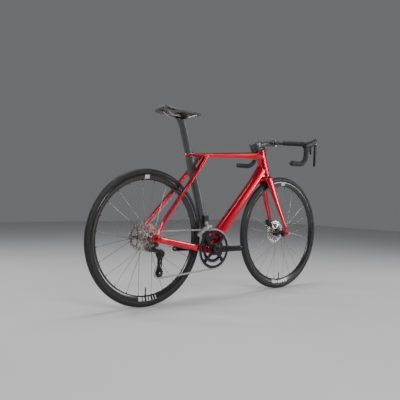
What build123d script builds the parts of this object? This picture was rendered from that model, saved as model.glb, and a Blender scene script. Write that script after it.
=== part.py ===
from build123d import *
import math
import os

# Road bicycle with disc brakes and no pedals fitted.
# Millimetres and degrees. +X is forward, +Y is the rider's left, +Z is up.
# The origin is on the ground, midway between the two tyre contact points.

# ---------------------------------------------------------------- driving dimensions
WHEEL_RADIUS = 339.0
TYRE_RADIUS = 14.0
WHEELBASE = 986.0
RIM_BEAD_RADIUS = 313.0
RIM_DEPTH = 30.0
HEAD_ANGLE = 73.0
SEAT_ANGLE = 72.9
FORK_OFFSET = 43.0
BB_X, BB_Z = -89.0, 269.0
BB_SHELL_WIDTH = 86.0
REAR_SPACING = 142.0
FRONT_SPACING = 100.0
THRU_AXLE_RADIUS = 6.0
AXLE_CLEARANCE = 0.06
HEAD_TUBE_LOW, HEAD_TUBE_HIGH = 366.0, 530.0
STEERER_RADIUS = 14.3
STEERER_BASE_RADIUS = 19.4
CHAIN_LINE = -46.8
CHAIN_PITCH = 12.7
RING_TEETH, INNER_RING_TEETH = 52, 36
COG_TEETH = (11, 12, 13, 14, 15, 17, 19, 21, 24, 27, 30, 34)
CHAINED_COG = 5
COG_SPACING = 3.45
PULLEY_TEETH = 13
GUIDE_PULLEY = (-444.0, 262.0)
OUTER_SHIFT = -23.0
CAGE_SWING = 35.0
TENSION_PULLEY = (-449.0, 168.9)
CRANK_LENGTH = 172.5
PEDAL_THREAD_RADIUS = 7.14
REAR_ROTOR_RADIUS, REAR_ROTOR_Y = 70.0, 55.0
FRONT_ROTOR_RADIUS, FRONT_ROTOR_Y = 80.0, 38.0
ROTOR_THICKNESS = 1.8
SPOKES_PER_SIDE = 12
SPOKE_RADIUS = 0.9
PAD_GAP = 0.5
BAR_CENTRE = (395.0, 0.0, 880.0)
BAR_RADIUS = 15.0
DROP_RADIUS = 12.0
TAPE_THICKNESS = 2.2
HALF_BAR = 200.0
SADDLE_LENGTH, SADDLE_WIDTH, SADDLE_TOP = 255.0, 142.0, 1001.0
SADDLE_REAR_X = -428.0
RAIL_SPREAD = 22.0
RAIL_RADIUS = 3.5

REAR_AXLE = Vector(-WHEELBASE / 2, 0, WHEEL_RADIUS)
FRONT_AXLE = Vector(WHEELBASE / 2, 0, WHEEL_RADIUS)
UP_HEAD = Vector(-math.cos(math.radians(HEAD_ANGLE)), 0, math.sin(math.radians(HEAD_ANGLE)))
AHEAD_HEAD = Vector(math.sin(math.radians(HEAD_ANGLE)), 0, math.cos(math.radians(HEAD_ANGLE)))
UP_SEAT = Vector(-math.cos(math.radians(SEAT_ANGLE)), 0, math.sin(math.radians(SEAT_ANGLE)))
AHEAD_SEAT = Vector(math.sin(math.radians(SEAT_ANGLE)), 0, math.cos(math.radians(SEAT_ANGLE)))
STEER_FOOT = FRONT_AXLE - AHEAD_HEAD * FORK_OFFSET
BB = Vector(BB_X, 0, BB_Z)


# ---------------------------------------------------------------- shape helpers
def steer_point(up, ahead=0.0, side=0.0):
    """A point given along, ahead of and beside the steering axis."""
    return STEER_FOOT + UP_HEAD * up + AHEAD_HEAD * ahead + Vector(0, side, 0)


def seat_point(up, ahead=0.0, side=0.0):
    """A point given along, ahead of and beside the seat tube's axis."""
    return BB + UP_SEAT * up + AHEAD_SEAT * ahead + Vector(0, side, 0)


def rod(start, end, radius):
    """Round bar between two points."""
    start, end = Vector(*start), Vector(*end)
    run = end - start
    plane = Plane(origin=start, z_dir=run)
    return extrude(plane * Circle(radius), amount=run.length)


def pipe(start, end, outer, inner):
    """Round tube between two points."""
    start, end = Vector(*start), Vector(*end)
    run = end - start
    plane = Plane(origin=start, z_dir=run)
    return extrude(plane * (Circle(outer) - Circle(inner)), amount=run.length)


def across(centre, y_low, y_high, radius, hole=0.0):
    """Disc or ring whose axis lies along Y."""
    plane = Plane(origin=(centre[0], y_low, centre[1]), x_dir=(1, 0, 0), z_dir=(0, 1, 0))
    outline = Circle(radius) - Circle(hole) if hole else Circle(radius)
    return extrude(plane * outline, amount=y_high - y_low)


def brick(centre, size, corner=0.0, plane=None):
    """Block at a point, with its upright edges rounded, in a turned plane if one is given."""
    outline = RectangleRounded(size[0], size[1], corner) if corner else Rectangle(size[0], size[1])
    base = plane or Plane(origin=centre)
    low = Plane(origin=base.origin - base.z_dir * (size[2] / 2), x_dir=base.x_dir, z_dir=base.z_dir)
    return extrude(low * outline, amount=size[2])


def section(point, normal, x_dir, deep, wide, shape="oval"):
    """One cross-section, deep along x_dir and wide across it."""
    plane = Plane(origin=point, x_dir=x_dir, z_dir=normal)
    if shape == "oval":
        return plane * Ellipse(deep / 2, wide / 2)
    return plane * RectangleRounded(deep, wide, min(deep, wide) * 0.3)


def skin(sections):
    """Solid through a row of sections."""
    return loft(sections, ruled=True)


def side_plate(points, y_low, y_high):
    """Flat plate in the XZ plane, from y_low to y_high, with straight edges."""
    plane = Plane(origin=(0, y_low, 0), x_dir=(1, 0, 0), z_dir=(0, 1, 0))
    outline = make_face(Polyline([(x, -z) for x, z in points], close=True))
    return extrude(plane * outline, amount=y_high - y_low)


def turned(profile, centre):
    """Body of revolution about the Y axis through centre; the profile is (radius, y) pairs."""
    face = make_face(Polyline([(r, y, 0) for r, y in profile], close=True))
    return revolve(face, axis=Axis.Y).moved(Location(Vector(*centre)))


def rounded_bar(points, radii, radius):
    """Round bar along straight runs joined by tangent arcs."""
    line = FilletPolyline(*points, radius=radii) if radii else Polyline(points)
    start = line @ 0
    plane = Plane(origin=start, z_dir=line % 0)
    return sweep(plane * Circle(radius), path=line)


def polar(centre, radius, angle):
    """The (x, z) point at a radius and an angle about a centre."""
    return (centre[0] + radius * math.cos(angle), centre[1] + radius * math.sin(angle))


def save(name, *solids):
    """Write one node; several solids make a group."""
    parts = [s for item in solids for s in item.solids()]
    export_step(parts[0] if len(parts) == 1 else Compound(children=parts), f"parts/{name}.step")


def pitch_radius(teeth):
    """Radius of the chain rollers' circle on a sprocket."""
    return CHAIN_PITCH / 2 / math.sin(math.pi / teeth)


TOOTH_SEAT = 4.0
TOOTH_HEIGHT = 2.0


def sprocket(teeth, centre, y_mid, thickness, hole, phase=0.0):
    """Toothed disc; phase is the angle of one roller seat, from +X towards +Z."""
    radius = pitch_radius(teeth)
    disc = across(centre, y_mid - thickness / 2, y_mid + thickness / 2, radius + TOOTH_HEIGHT, hole)
    plane = Plane(origin=(centre[0], y_mid - thickness, centre[1]), x_dir=(1, 0, 0), z_dir=(0, 1, 0))
    half_mouth = TOOTH_SEAT * 1.55
    seat = Pos(radius, 0) * Circle(TOOTH_SEAT)
    mouth = make_face(Polyline(
        (radius, -TOOTH_SEAT), (radius + TOOTH_SEAT, -half_mouth),
        (radius + TOOTH_SEAT, half_mouth), (radius, TOOTH_SEAT), close=True))
    gap = seat + mouth
    gaps = [Rot(0, 0, -(phase + 360 * i / teeth)) * gap for i in range(teeth)]
    cutters = [extrude(plane * g, amount=2 * thickness) for g in gaps]
    return disc - cutters


# ---------------------------------------------------------------- chain route
def chain_route():
    """Stations of the chain rollers, one per pitch, and each sprocket's tooth phase.

    The chain wraps the big ring, the driving cog and the two pulleys. On a sprocket
    one pitch is one tooth's turn, and on a straight run it is 12.7 mm.
    """
    ring_r = pitch_radius(RING_TEETH)
    cog_r = pitch_radius(COG_TEETH[CHAINED_COG])
    pulley_r = pitch_radius(PULLEY_TEETH)
    wheels = [
        ((REAR_AXLE.X, REAR_AXLE.Z), cog_r, COG_TEETH[CHAINED_COG], 1),
        (GUIDE_PULLEY, pulley_r, PULLEY_TEETH, -1),
        (TENSION_PULLEY, pulley_r, PULLEY_TEETH, 1),
        ((BB_X, BB_Z), ring_r, RING_TEETH, 1),
    ]
    # The last value is +1 where the chain goes round anticlockwise, seen from the drive side.
    leaves, enters = [], []
    for i, (a, ra, _, sa) in enumerate(wheels):
        b, rb, _, sb = wheels[(i + 1) % len(wheels)]
        dx, dz = b[0] - a[0], b[1] - a[1]
        span = math.hypot(dx, dz)
        heading = math.atan2(dz, dx)
        lean = math.asin((rb * sb - ra * sa) / span)
        normal = heading - math.pi / 2 - lean
        out = (math.cos(normal), math.sin(normal))
        leaves.append((a[0] + out[0] * ra * sa, a[1] + out[1] * ra * sa))
        enters.append((b[0] + out[0] * rb * sb, b[1] + out[1] * rb * sb))
    pieces = []
    for i, (centre, radius, teeth, side) in enumerate(wheels):
        start = enters[i - 1]
        end = leaves[i]
        a0 = math.atan2(start[1] - centre[1], start[0] - centre[0])
        a1 = math.atan2(end[1] - centre[1], end[0] - centre[0])
        turn = (a1 - a0) * side % (2 * math.pi)
        pieces.append(("arc", centre, radius, a0, side, turn * teeth / 2 / math.pi, teeth))
        nxt = enters[i]
        length = math.hypot(nxt[0] - end[0], nxt[1] - end[1])
        pieces.append(("line", end, nxt, length / CHAIN_PITCH))
    return pieces


def lay_chain():
    """Roller centres round the route and the phase of each sprocket in order."""
    pieces = chain_route()
    counts = [p[5] if p[0] == "arc" else p[3] for p in pieces]
    total = sum(counts)
    links = 2 * round(total / 2)
    # What is left of a pitch is shared out along the lower run, from the tension pulley to the ring.
    lower_run = 5
    counts[lower_run] += links - total
    rollers, phases = [], []
    at = 0.0
    for piece, count in zip(pieces, counts):
        first = math.ceil(at - 1e-9)
        for k in range(first, math.ceil(at + count - 1e-9)):
            share = k - at
            if piece[0] == "arc":
                _, centre, radius, a0, side, _, teeth = piece
                angle = a0 + side * share * 2 * math.pi / teeth
                rollers.append((centre[0] + radius * math.cos(angle), centre[1] + radius * math.sin(angle)))
            else:
                _, start, end, _ = piece
                t = share / count
                rollers.append((start[0] + (end[0] - start[0]) * t, start[1] + (end[1] - start[1]) * t))
        if piece[0] == "arc":
            phases.append(math.degrees(piece[3] + piece[4] * (first - at) * 2 * math.pi / piece[6]))
        at += count
    print("chain pitches on the route", round(total, 3), "links laid", links)
    return rollers, phases


ROLLERS, (COG_PHASE, GUIDE_PHASE, TENSION_PHASE, RING_PHASE) = lay_chain()


# ---------------------------------------------------------------- frame
def frame_parts():
    """Carbon frame as its tubes, each trimmed to the neighbour that it meets."""
    shell_half = BB_SHELL_WIDTH / 2
    bb_solid = across((BB_X, BB_Z), -shell_half, shell_half, 27)
    bb_shell = bb_solid - across((BB_X, BB_Z), -shell_half, shell_half, 21)

    head_sections = [
        section(steer_point(HEAD_TUBE_LOW, 1), UP_HEAD, AHEAD_HEAD, 66, 60),
        section(steer_point(HEAD_TUBE_LOW + 45, 1), UP_HEAD, AHEAD_HEAD, 68, 54),
        section(steer_point(HEAD_TUBE_HIGH, 0), UP_HEAD, AHEAD_HEAD, 64, 50),
    ]
    head_solid = skin(head_sections)
    head_tube = head_solid - rod(steer_point(HEAD_TUBE_LOW), steer_point(HEAD_TUBE_HIGH), 20.4)
    head_tube -= rod(steer_point(HEAD_TUBE_LOW), steer_point(HEAD_TUBE_LOW + 9), 26)
    head_tube -= rod(steer_point(HEAD_TUBE_HIGH - 9), steer_point(HEAD_TUBE_HIGH), 21)

    seat_foot, seat_top = 24.0, 512.0
    seat_plane = Plane(origin=seat_point(seat_foot), x_dir=AHEAD_SEAT, z_dir=UP_SEAT)
    post_hole = SlotOverall(36.8, 27.8)
    seat_solid = extrude(seat_plane * SlotOverall(43, 34), amount=seat_top - seat_foot)
    gusset = side_plate([(-196, 700), (-190, 735), (-158, 762), (-250, 762), (-232, 700)], -12, 12)
    seat_cavity = extrude(seat_plane * post_hole, amount=seat_top - seat_foot + 80)
    seat_tube = seat_solid + gusset - seat_cavity - bb_solid

    top_across = Vector(0, 0, 1)
    top_sections = []
    for x, top, deep, wide in ((-268, 770, 14, 34), (-215, 774.5, 16, 44), (-150, 780.5, 20, 42),
                               (-90, 786, 28, 38), (100, 802, 34, 36), (290, 818, 46, 42)):
        top_sections.append(section(Vector(x, 0, top - deep / 2), (1, 0, 0), top_across, deep, wide, "box"))
    top_solid = skin(top_sections)
    wedge_slot = brick(None, (13, 16, 40), plane=Plane(
        origin=seat_point(516, 18.4 + 2.5), x_dir=AHEAD_SEAT, z_dir=UP_SEAT))
    top_tube = top_solid - head_solid - seat_cavity - wedge_slot
    seat_tube = seat_tube - top_solid - wedge_slot
    hollow = [section(Vector(x, 0, top - deep / 2), (1, 0, 0), top_across, deep - 5, wide - 5, "box")
              for x, top, deep, wide in ((-88, 786, 28, 38), (100, 802, 34, 36), (262, 816, 44, 41))]
    top_tube -= skin(hollow)

    down_way = (Vector(322, 0, 718) - BB).normalized()
    down_up = Vector(-down_way.Z, 0, down_way.X)
    down_sections, down_hollow = [], []
    for along, deep, wide in ((12, 72, 56), (160, 64, 50), (420, 54, 46), (628, 54, 46)):
        centre = BB + down_way * along
        down_sections.append(section(centre, down_way, down_up, deep, wide, "box"))
        down_hollow.append(section(centre, down_way, down_up, deep - 5, wide - 5, "box"))
    down_tube = skin(down_sections) - skin(down_hollow) - head_solid - bb_solid - seat_solid
    down_tube -= rod(steer_point(HEAD_TUBE_LOW - 60), steer_point(HEAD_TUBE_LOW), 60)
    down_tube = max(down_tube.solids(), key=lambda s: s.volume)

    chainstays, seatstays = [], []
    stay_path = ((-104, 27, 262, 40, 17), (-170, 28.4, 275.5, 36, 15), (-240, 43, 289.5, 34, 15),
                 (-420, 64.6, 326.5, 27, 13), (-462, 74.7, 335.5, 27, 7), (-474, 74.8, 338, 30, 7),
                 (-484, 74.8, 339, 20, 7))
    for side in (-1, 1):
        stay = skin([section(Vector(x, side * y, z), (1, 0, 0), (0, 0, 1), deep, wide, "box")
                     for x, y, z, deep, wide in stay_path])
        dropout = across((REAR_AXLE.X, REAR_AXLE.Z), side * 71 - (0 if side > 0 else 7.6),
                         side * 71 + (7.6 if side > 0 else 0), 19)
        stay = stay + dropout
        stay -= across((REAR_AXLE.X, REAR_AXLE.Z), -85, 85, THRU_AXLE_RADIUS + AXLE_CLEARANCE)
        chainstays.append(stay - bb_solid - seat_solid - down_tube)
        way = Vector(0.663, 0, 0.749)
        up = Vector(-0.749, 0, 0.663)
        blade = skin([section(Vector(x, side * y, z), way, up, deep, wide, "box")
                      for x, y, z, deep, wide in ((-485, 74.6, 352, 20, 7.4), (-462, 71, 386, 24, 10),
                                                  (-445, 65, 419, 26, 13), (-278, 45, 605, 30, 14),
                                                  (-130, 22, 775, 35, 16))])
        blade = blade - stay - top_solid
        blade = max(blade.solids(), key=lambda s: s.volume)
        seatstays.append(blade)

    save("bottom_bracket_shell", bb_shell)
    save("head_tube", head_tube)
    save("top_tube", max(top_tube.solids(), key=lambda s: s.volume))
    save("chainstays", *chainstays)
    save("seatstays", *seatstays)

    boss_mouths = []
    for along in (190, 254):
        centre = BB + down_way * along
        surface = centre + down_up * 31
        boss_mouths.append((surface, down_up))
    for up in (150, 214):
        boss_mouths.append((seat_point(up, 21.5), AHEAD_SEAT))
    bosses = []
    for surface, out in boss_mouths:
        boss = rod(surface - out * 9, surface + out * 2, 5) - rod(surface - out * 8, surface + out * 2, 2.1)
        bosses.append(boss)
    boss_room = [rod(surface - out * 9, surface + out * 2, 5) for surface, out in boss_mouths]
    down_tube = down_tube - boss_room
    save("down_tube", max(down_tube.solids(), key=lambda s: s.volume))
    seat_tube = seat_tube - boss_room
    save("seat_tube", max(seat_tube.solids(), key=lambda s: s.volume))
    save("bottle_cage_bosses", *bosses)
    for surface, out in boss_mouths:
        mouth = surface + out * 2
        print("bottle boss mouth", [round(v / 1000, 6) for v in mouth], "axis", [round(v, 6) for v in out])

    wedge = brick(None, (8.2, 15.6, 30), plane=Plane(
        origin=seat_point(513, 18.4 + 4.3), x_dir=AHEAD_SEAT, z_dir=UP_SEAT))
    save("seatpost_wedge", wedge)

    upper = pipe(steer_point(HEAD_TUBE_HIGH - 8), steer_point(HEAD_TUBE_HIGH - 1), 21, STEERER_RADIUS + 0.1)
    lower = pipe(steer_point(HEAD_TUBE_LOW + 1), steer_point(HEAD_TUBE_LOW + 8), 26,
                 STEERER_BASE_RADIUS + 0.1)
    cups = []
    for side in (-1, 1):
        low, high = sorted((side * (shell_half - 10), side * (shell_half + 1)))
        cups.append(across((BB_X, BB_Z), low, high, 21, 12.05))
    save("frame_bearings", upper, lower, *cups)
    return chainstays


# ---------------------------------------------------------------- seatpost and saddle
POST_LOW, POST_HIGH = 380.0, 706.0
CLAMP_UP = 714.0


def seating_parts():
    """Aero seatpost, its rail clamp, the rails and the saddle."""
    plane = Plane(origin=seat_point(POST_LOW), x_dir=AHEAD_SEAT, z_dir=UP_SEAT)
    post = extrude(plane * SlotOverall(36, 27), amount=POST_HIGH - POST_LOW)
    post -= extrude(plane * SlotOverall(30, 21), amount=POST_HIGH - POST_LOW - 25)
    pivot = seat_point(CLAMP_UP)
    yoke = across((pivot.X, pivot.Z), -13, 13, 15)
    post = post + yoke - across((pivot.X, pivot.Z), -20, 20, 10.08)
    save("seatpost", post)

    barrel = across((pivot.X, pivot.Z), -30, 30, 10)
    rail_z = pivot.Z + 3
    cradles = []
    for side in (-1, 1):
        cradle = brick((pivot.X, side * RAIL_SPREAD, rail_z), (42, 13, 17), 3)
        cradles.append(cradle)
    groove = [rod((pivot.X - 40, side * RAIL_SPREAD, rail_z), (pivot.X + 40, side * RAIL_SPREAD, rail_z),
                  RAIL_RADIUS + 0.15) for side in (-1, 1)]
    clamp = barrel + cradles - groove
    bolt_heads = [across((pivot.X, pivot.Z - 2), low, low + 4, 4) for low in (-34, 30)]
    save("saddle_clamp", clamp + bolt_heads)

    rails = []
    front_x = SADDLE_REAR_X + SADDLE_LENGTH - 34
    back_x = SADDLE_REAR_X + 42
    for side in (-1, 1):
        y = side * RAIL_SPREAD
        rails.append(rounded_bar([(back_x - 12, y, rail_z + 19), (back_x + 22, y, rail_z),
                                  (front_x - 60, y, rail_z), (front_x, side * 9, rail_z + 19)],
                                 [14, 30], RAIL_RADIUS))
    save("saddle_rails", *rails)

    base_z = rail_z + 15
    outline = []
    half = SADDLE_WIDTH / 2
    for t, wide, drop in ((0.0, 0.80, 5), (0.10, 1.0, 2), (0.25, 0.92, 1), (0.45, 0.52, 2),
                          (0.65, 0.33, 2), (0.85, 0.26, 3), (1.0, 0.16, 7)):
        x = SADDLE_REAR_X + SADDLE_LENGTH * t
        outline.append((x, half * wide, SADDLE_TOP - drop))
    sections = []
    for x, wide, top in outline:
        low = base_z if wide < half * 0.7 else base_z - 6
        face_plane = Plane(origin=(x, 0, (top + low) / 2), x_dir=(0, 1, 0), z_dir=(1, 0, 0))
        sections.append(face_plane * RectangleRounded(2 * wide, top - low, 9))
    saddle = skin(sections)
    saddle -= brick((SADDLE_REAR_X, 0, SADDLE_TOP - 15), (44, 22, 80), 6)
    saddle -= brick((SADDLE_REAR_X + SADDLE_LENGTH / 2 - 4, 0, base_z + 1), (SADDLE_LENGTH - 26, 60, 14))
    for rail in rails:
        saddle -= rail
    save("saddle", max(saddle.solids(), key=lambda s: s.volume))
    print("seat pivot", [round(v / 1000, 6) for v in pivot])


# ---------------------------------------------------------------- fork and cockpit
def fork_part():
    """Steerer, crown and two bladed legs as one carbon piece."""
    steerer = rod(steer_point(350), steer_point(569), STEERER_RADIUS)
    steerer += rod(steer_point(350), steer_point(HEAD_TUBE_LOW + 20), STEERER_BASE_RADIUS)
    crown = skin([
        section(steer_point(HEAD_TUBE_LOW - 1, 1), UP_HEAD, AHEAD_HEAD, 66, 60),
        section(steer_point(HEAD_TUBE_LOW - 14, 1), UP_HEAD, AHEAD_HEAD, 60, 78),
    ])
    fork = steerer + crown
    for side in (-1, 1):
        stations = (
            (steer_point(HEAD_TUBE_LOW - 12, 1, side * 28), 56, 22),
            (steer_point(300, 9, side * 34), 48, 19),
            (steer_point(200, 18, side * 43), 36, 15),
            (steer_point(80, 35, side * 54), 27, 12),
            (steer_point(6, FORK_OFFSET, side * 56), 24, 11.6),
        )
        leg = skin([section(point, UP_HEAD, AHEAD_HEAD, deep, wide) for point, deep, wide in stations])
        tip = across((FRONT_AXLE.X, FRONT_AXLE.Z), side * 50 - (0 if side > 0 else 11.8),
                     side * 50 + (11.8 if side > 0 else 0), 14)
        fork = fork + leg + tip
    fork -= across((FRONT_AXLE.X, FRONT_AXLE.Z), -70, 70, THRU_AXLE_RADIUS + AXLE_CLEARANCE)
    fork -= across((FRONT_AXLE.X, FRONT_AXLE.Z), -50, 50, 20)
    fork -= across((FRONT_AXLE.X, FRONT_AXLE.Z), -21, 21, WHEEL_RADIUS + 5)
    fork -= rod(steer_point(420), steer_point(569), 11)
    return fork


def bar_path(side):
    """Centre line of half of the drop bar, from the stem out and down to the bar's end."""
    x, _, z = BAR_CENTRE
    points = [
        (x, 0, z),
        (x + 8, side * 60, z - 2),
        (437, side * 185, 868),
        (476, side * 198, 868),
        (470, side * 205, 749),
        (330, side * 214, 749),
    ]
    return points, [60, 24, 26, 68]


def cockpit_parts():
    """Stem, bar, tape, levers and shift paddles, all carried by the fork."""
    fork = fork_part()
    save("fork", fork)
    cover_top = section(steer_point(HEAD_TUBE_HIGH + 12, -22), UP_HEAD, AHEAD_HEAD, 96, 46)
    cover = skin([section(steer_point(HEAD_TUBE_HIGH + 0.6, -17), UP_HEAD, AHEAD_HEAD, 98, 50), cover_top])
    cover -= rod(steer_point(HEAD_TUBE_HIGH), steer_point(HEAD_TUBE_HIGH + 14), STEERER_RADIUS)
    save("headset_cover", cover)

    bar_at = Vector(*BAR_CENTRE)
    boss = skin([cover_top, section(steer_point(HEAD_TUBE_HIGH + 48, -28), UP_HEAD, AHEAD_HEAD, 100, 40)])
    reach = Vector(bar_at.X - 2, 0, bar_at.Z)
    root_point = steer_point(HEAD_TUBE_HIGH + 26)
    way = (reach - root_point).normalized()
    up = Vector(-way.Z, 0, way.X)
    neck = skin([section(root_point + way * 8, way, up, 36, 40, "box"),
                 section(reach, way, up, 38, 46, "box")])
    stem = boss + neck
    stem -= rod(steer_point(HEAD_TUBE_HIGH - 10), steer_point(HEAD_TUBE_HIGH + 39), STEERER_RADIUS)
    stem -= rod(steer_point(HEAD_TUBE_HIGH - 20), steer_point(HEAD_TUBE_HIGH + 12), 60)
    split = brick(bar_at + Vector(50, 0, 0), (100, 80, 120))
    bar_bore = across((bar_at.X, bar_at.Z), -60, 60, BAR_RADIUS + 1)
    stem = stem - split - bar_bore
    save("stem", max(stem.solids(), key=lambda s: s.volume))

    plate = brick(bar_at + Vector(10.5, 0, 0), (20, 46, 40), 3) - bar_bore
    plate = plate & brick(bar_at + Vector(10.5, 0, 0), (20, 46, 60))
    bolts = []
    for dy in (-15, 15):
        for dz in (-17.6, 17.6):
            head_at = bar_at + Vector(20.5, dy, dz * 0.95)
            bolts.append(rod(head_at, head_at + Vector(3, 0, 0), 3.2))
    save("stem_faceplate", max(plate.solids(), key=lambda s: s.volume), *bolts)

    halves, tapes, plugs = [], [], []
    for side in (-1, 1):
        points, radii = bar_path(side)
        bar_middle = Vector(BAR_CENTRE[0], 0, BAR_CENTRE[2])
        thick = rod(bar_middle, bar_middle + Vector(0, side * 32, 0), BAR_RADIUS + 1)
        line = rounded_bar(points, radii, DROP_RADIUS)
        halves.append((thick, line))
        taped_points = list(points)
        first, second = Vector(*points[1]), Vector(*points[2])
        taped_points[0] = tuple(first + (second - first) * 0.25)
        taped_points.pop(1)
        wrap = rounded_bar(taped_points, radii[1:], DROP_RADIUS + TAPE_THICKNESS)
        tapes.append(wrap - line)
        tail, before = Vector(*points[-1]), Vector(*points[-2])
        back = (tail - before).normalized()
        plugs.append(rod(tail, tail + back * 4, DROP_RADIUS + TAPE_THICKNESS))
    bar = halves[0][0] + halves[1][0] + halves[0][1] + halves[1][1]
    save("handlebar", bar)

    hoods, levers, paddles = {}, {}, {}
    for side, name in ((1, "left"), (-1, "right")):
        y = side * 200
        body = skin([
            section(Vector(468, side * 197, 862), (1, 0, 0), (0, 0, 1), 36, 32),
            section(Vector(505, y, 868), (1, 0, 0), (0, 0, 1), 38, 31),
            section(Vector(540, y, 882), (1, 0, 0), (0, 0, 1), 38, 29),
            section(Vector(562, y, 890), (1, 0, 0), (0, 0, 1), 36, 25),
        ])
        body -= brick((562, y, 868), (26, 11.4, 40))
        hoods[name] = body - halves[0 if side < 0 else 1][1]
        pivot = (556.0, 876.0)
        lever = side_plate([(549, 880), (563, 880), (570, 850), (566, 800), (556, 744), (545, 741),
                            (554, 800), (556, 850)], y - 5, y + 5)
        lever -= across(pivot, y - 9, y + 9, 2.05)
        levers[name] = lever
        pin = across(pivot, y - 10, y + 10, 2.0)
        hoods[name] += pin
        paddles[name] = []
        inner = y - side * 17
        for x0, x1, low in ((533, 544, 812), (521, 531, 826)):
            blade = side_plate([(x0 + 4, 866), (x1 + 4, 866), (x1, low), (x0, low)], inner - 1.6, inner + 1.6)
            paddles[name].append(blade + rod((x0 + 4, inner, 866), (x1 + 4, inner, 866), 1.7))
    tape_solids = []
    for name, tape in zip(("right", "left"), tapes):
        tape_solids += [s for s in (tape - hoods[name]).solids() if s.volume > 2000]
    save("bar_tape", *tape_solids)
    save("bar_end_plugs", *plugs)
    for name in ("left", "right"):
        save(f"hood_{name}", max(hoods[name].solids(), key=lambda s: s.volume))
        save(f"brake_lever_{name}", levers[name])
        save(f"upshift_paddle_{name}", paddles[name][0])
        save(f"downshift_paddle_{name}", paddles[name][1])
    axle = across((FRONT_AXLE.X, FRONT_AXLE.Z), -61.8, 63.5, THRU_AXLE_RADIUS)
    save("front_thru_axle", axle)
    return fork


# ---------------------------------------------------------------- wheels
def wheel_parts(name, centre, flanges, flange_radius, hub_half, rotor_radius, rotor_y):
    """Tyre, deep rim, crossed spokes, hub and disc rotor of one wheel."""
    r_out = WHEEL_RADIUS
    tyre_mid = r_out - TYRE_RADIUS
    tyre_half = [(r_out, 3), (tyre_mid + 9.5, 10.5), (tyre_mid + 4, 13.6), (tyre_mid - 3, 14),
                 (tyre_mid - 11, 11.2), (RIM_BEAD_RADIUS, 10.2)]
    tyre = turned(tyre_half + [(radius, -y) for radius, y in reversed(tyre_half)], centre)
    rim_in = RIM_BEAD_RADIUS - RIM_DEPTH
    rim = turned([(RIM_BEAD_RADIUS, -12), (RIM_BEAD_RADIUS, 12), (RIM_BEAD_RADIUS - 8, 13), (rim_in + 5, 8),
                  (rim_in, 2.5), (rim_in, -2.5), (rim_in + 5, -8), (RIM_BEAD_RADIUS - 8, -13)], centre)
    hollow = turned([(RIM_BEAD_RADIUS - 4, -9.5), (RIM_BEAD_RADIUS - 4, 9.5), (RIM_BEAD_RADIUS - 9, 10.5),
                     (rim_in + 6, 5.8), (rim_in + 3, 2), (rim_in + 3, -2), (rim_in + 6, -5.8),
                     (RIM_BEAD_RADIUS - 9, -10.5)], centre)
    valve = rod((centre.X, 0, centre.Z - rim_in + 42), (centre.X, 0, centre.Z - rim_in), 3)
    save(f"{name}_tyre", tyre)
    save(f"{name}_rim", rim - hollow, valve)

    hub_bore = THRU_AXLE_RADIUS + 0.08
    flange_out = flange_radius + 3
    hub = turned([(hub_bore, -hub_half), (9, -hub_half), (9, flanges[0] - 5),
                  (flange_out, flanges[0] - 3), (flange_out, flanges[0] + 3), (12, flanges[0] + 12),
                  (12, flanges[1] - 12), (flange_out, flanges[1] - 3), (flange_out, flanges[1] + 3),
                  (9, flanges[1] + 5), (9, hub_half), (hub_bore, hub_half)], centre)
    rotor_half = ROTOR_THICKNESS / 2
    rotor_mid = (centre.X, centre.Z)
    ring = across(rotor_mid, rotor_y - rotor_half, rotor_y + rotor_half, rotor_radius, rotor_radius - 14)
    carrier = across(rotor_mid, rotor_y - rotor_half, rotor_y + rotor_half, 24, 9)
    arms = []
    for i in range(5):
        angle = math.radians(72 * i)
        lean = math.radians(72 * i + 24)
        a = polar(rotor_mid, 21, angle)
        b = polar(rotor_mid, rotor_radius - 12, lean)
        along = Vector(b[0] - a[0], 0, b[1] - a[1])
        mid = Vector((a[0] + b[0]) / 2, rotor_y, (a[1] + b[1]) / 2)
        arms.append(brick(None, (along.length, 9, ROTOR_THICKNESS),
                          plane=Plane(origin=mid, x_dir=along, z_dir=(0, 1, 0))))
    windows = []
    for i in range(30):
        angle = math.radians(12 * i)
        windows.append(across(polar(rotor_mid, rotor_radius - 7, angle), rotor_y - 2, rotor_y + 2, 2.2))
    save(f"{name}_rotor", ring + carrier + arms - windows)

    spokes = []
    for side, flange_y in ((-1, flanges[0]), (1, flanges[1])):
        for i in range(SPOKES_PER_SIDE):
            sense = 1 if i % 2 else -1
            step = 360 / SPOKES_PER_SIDE
            rim_angle = math.radians(i * step + 7 + (step / 2 if side > 0 else 0))
            hub_angle = rim_angle + sense * math.radians(62)
            shift = sense * 2.2
            start = (centre.X + flange_radius * math.cos(hub_angle), flange_y + shift,
                     centre.Z + flange_radius * math.sin(hub_angle))
            end = (centre.X + (rim_in + 2.5) * math.cos(rim_angle), side * 1.6 + shift * 0.2,
                   centre.Z + (rim_in + 2.5) * math.sin(rim_angle))
            spokes.append(rod(start, end, SPOKE_RADIUS))
    save(f"{name}_spokes", *spokes)
    return hub


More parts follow.
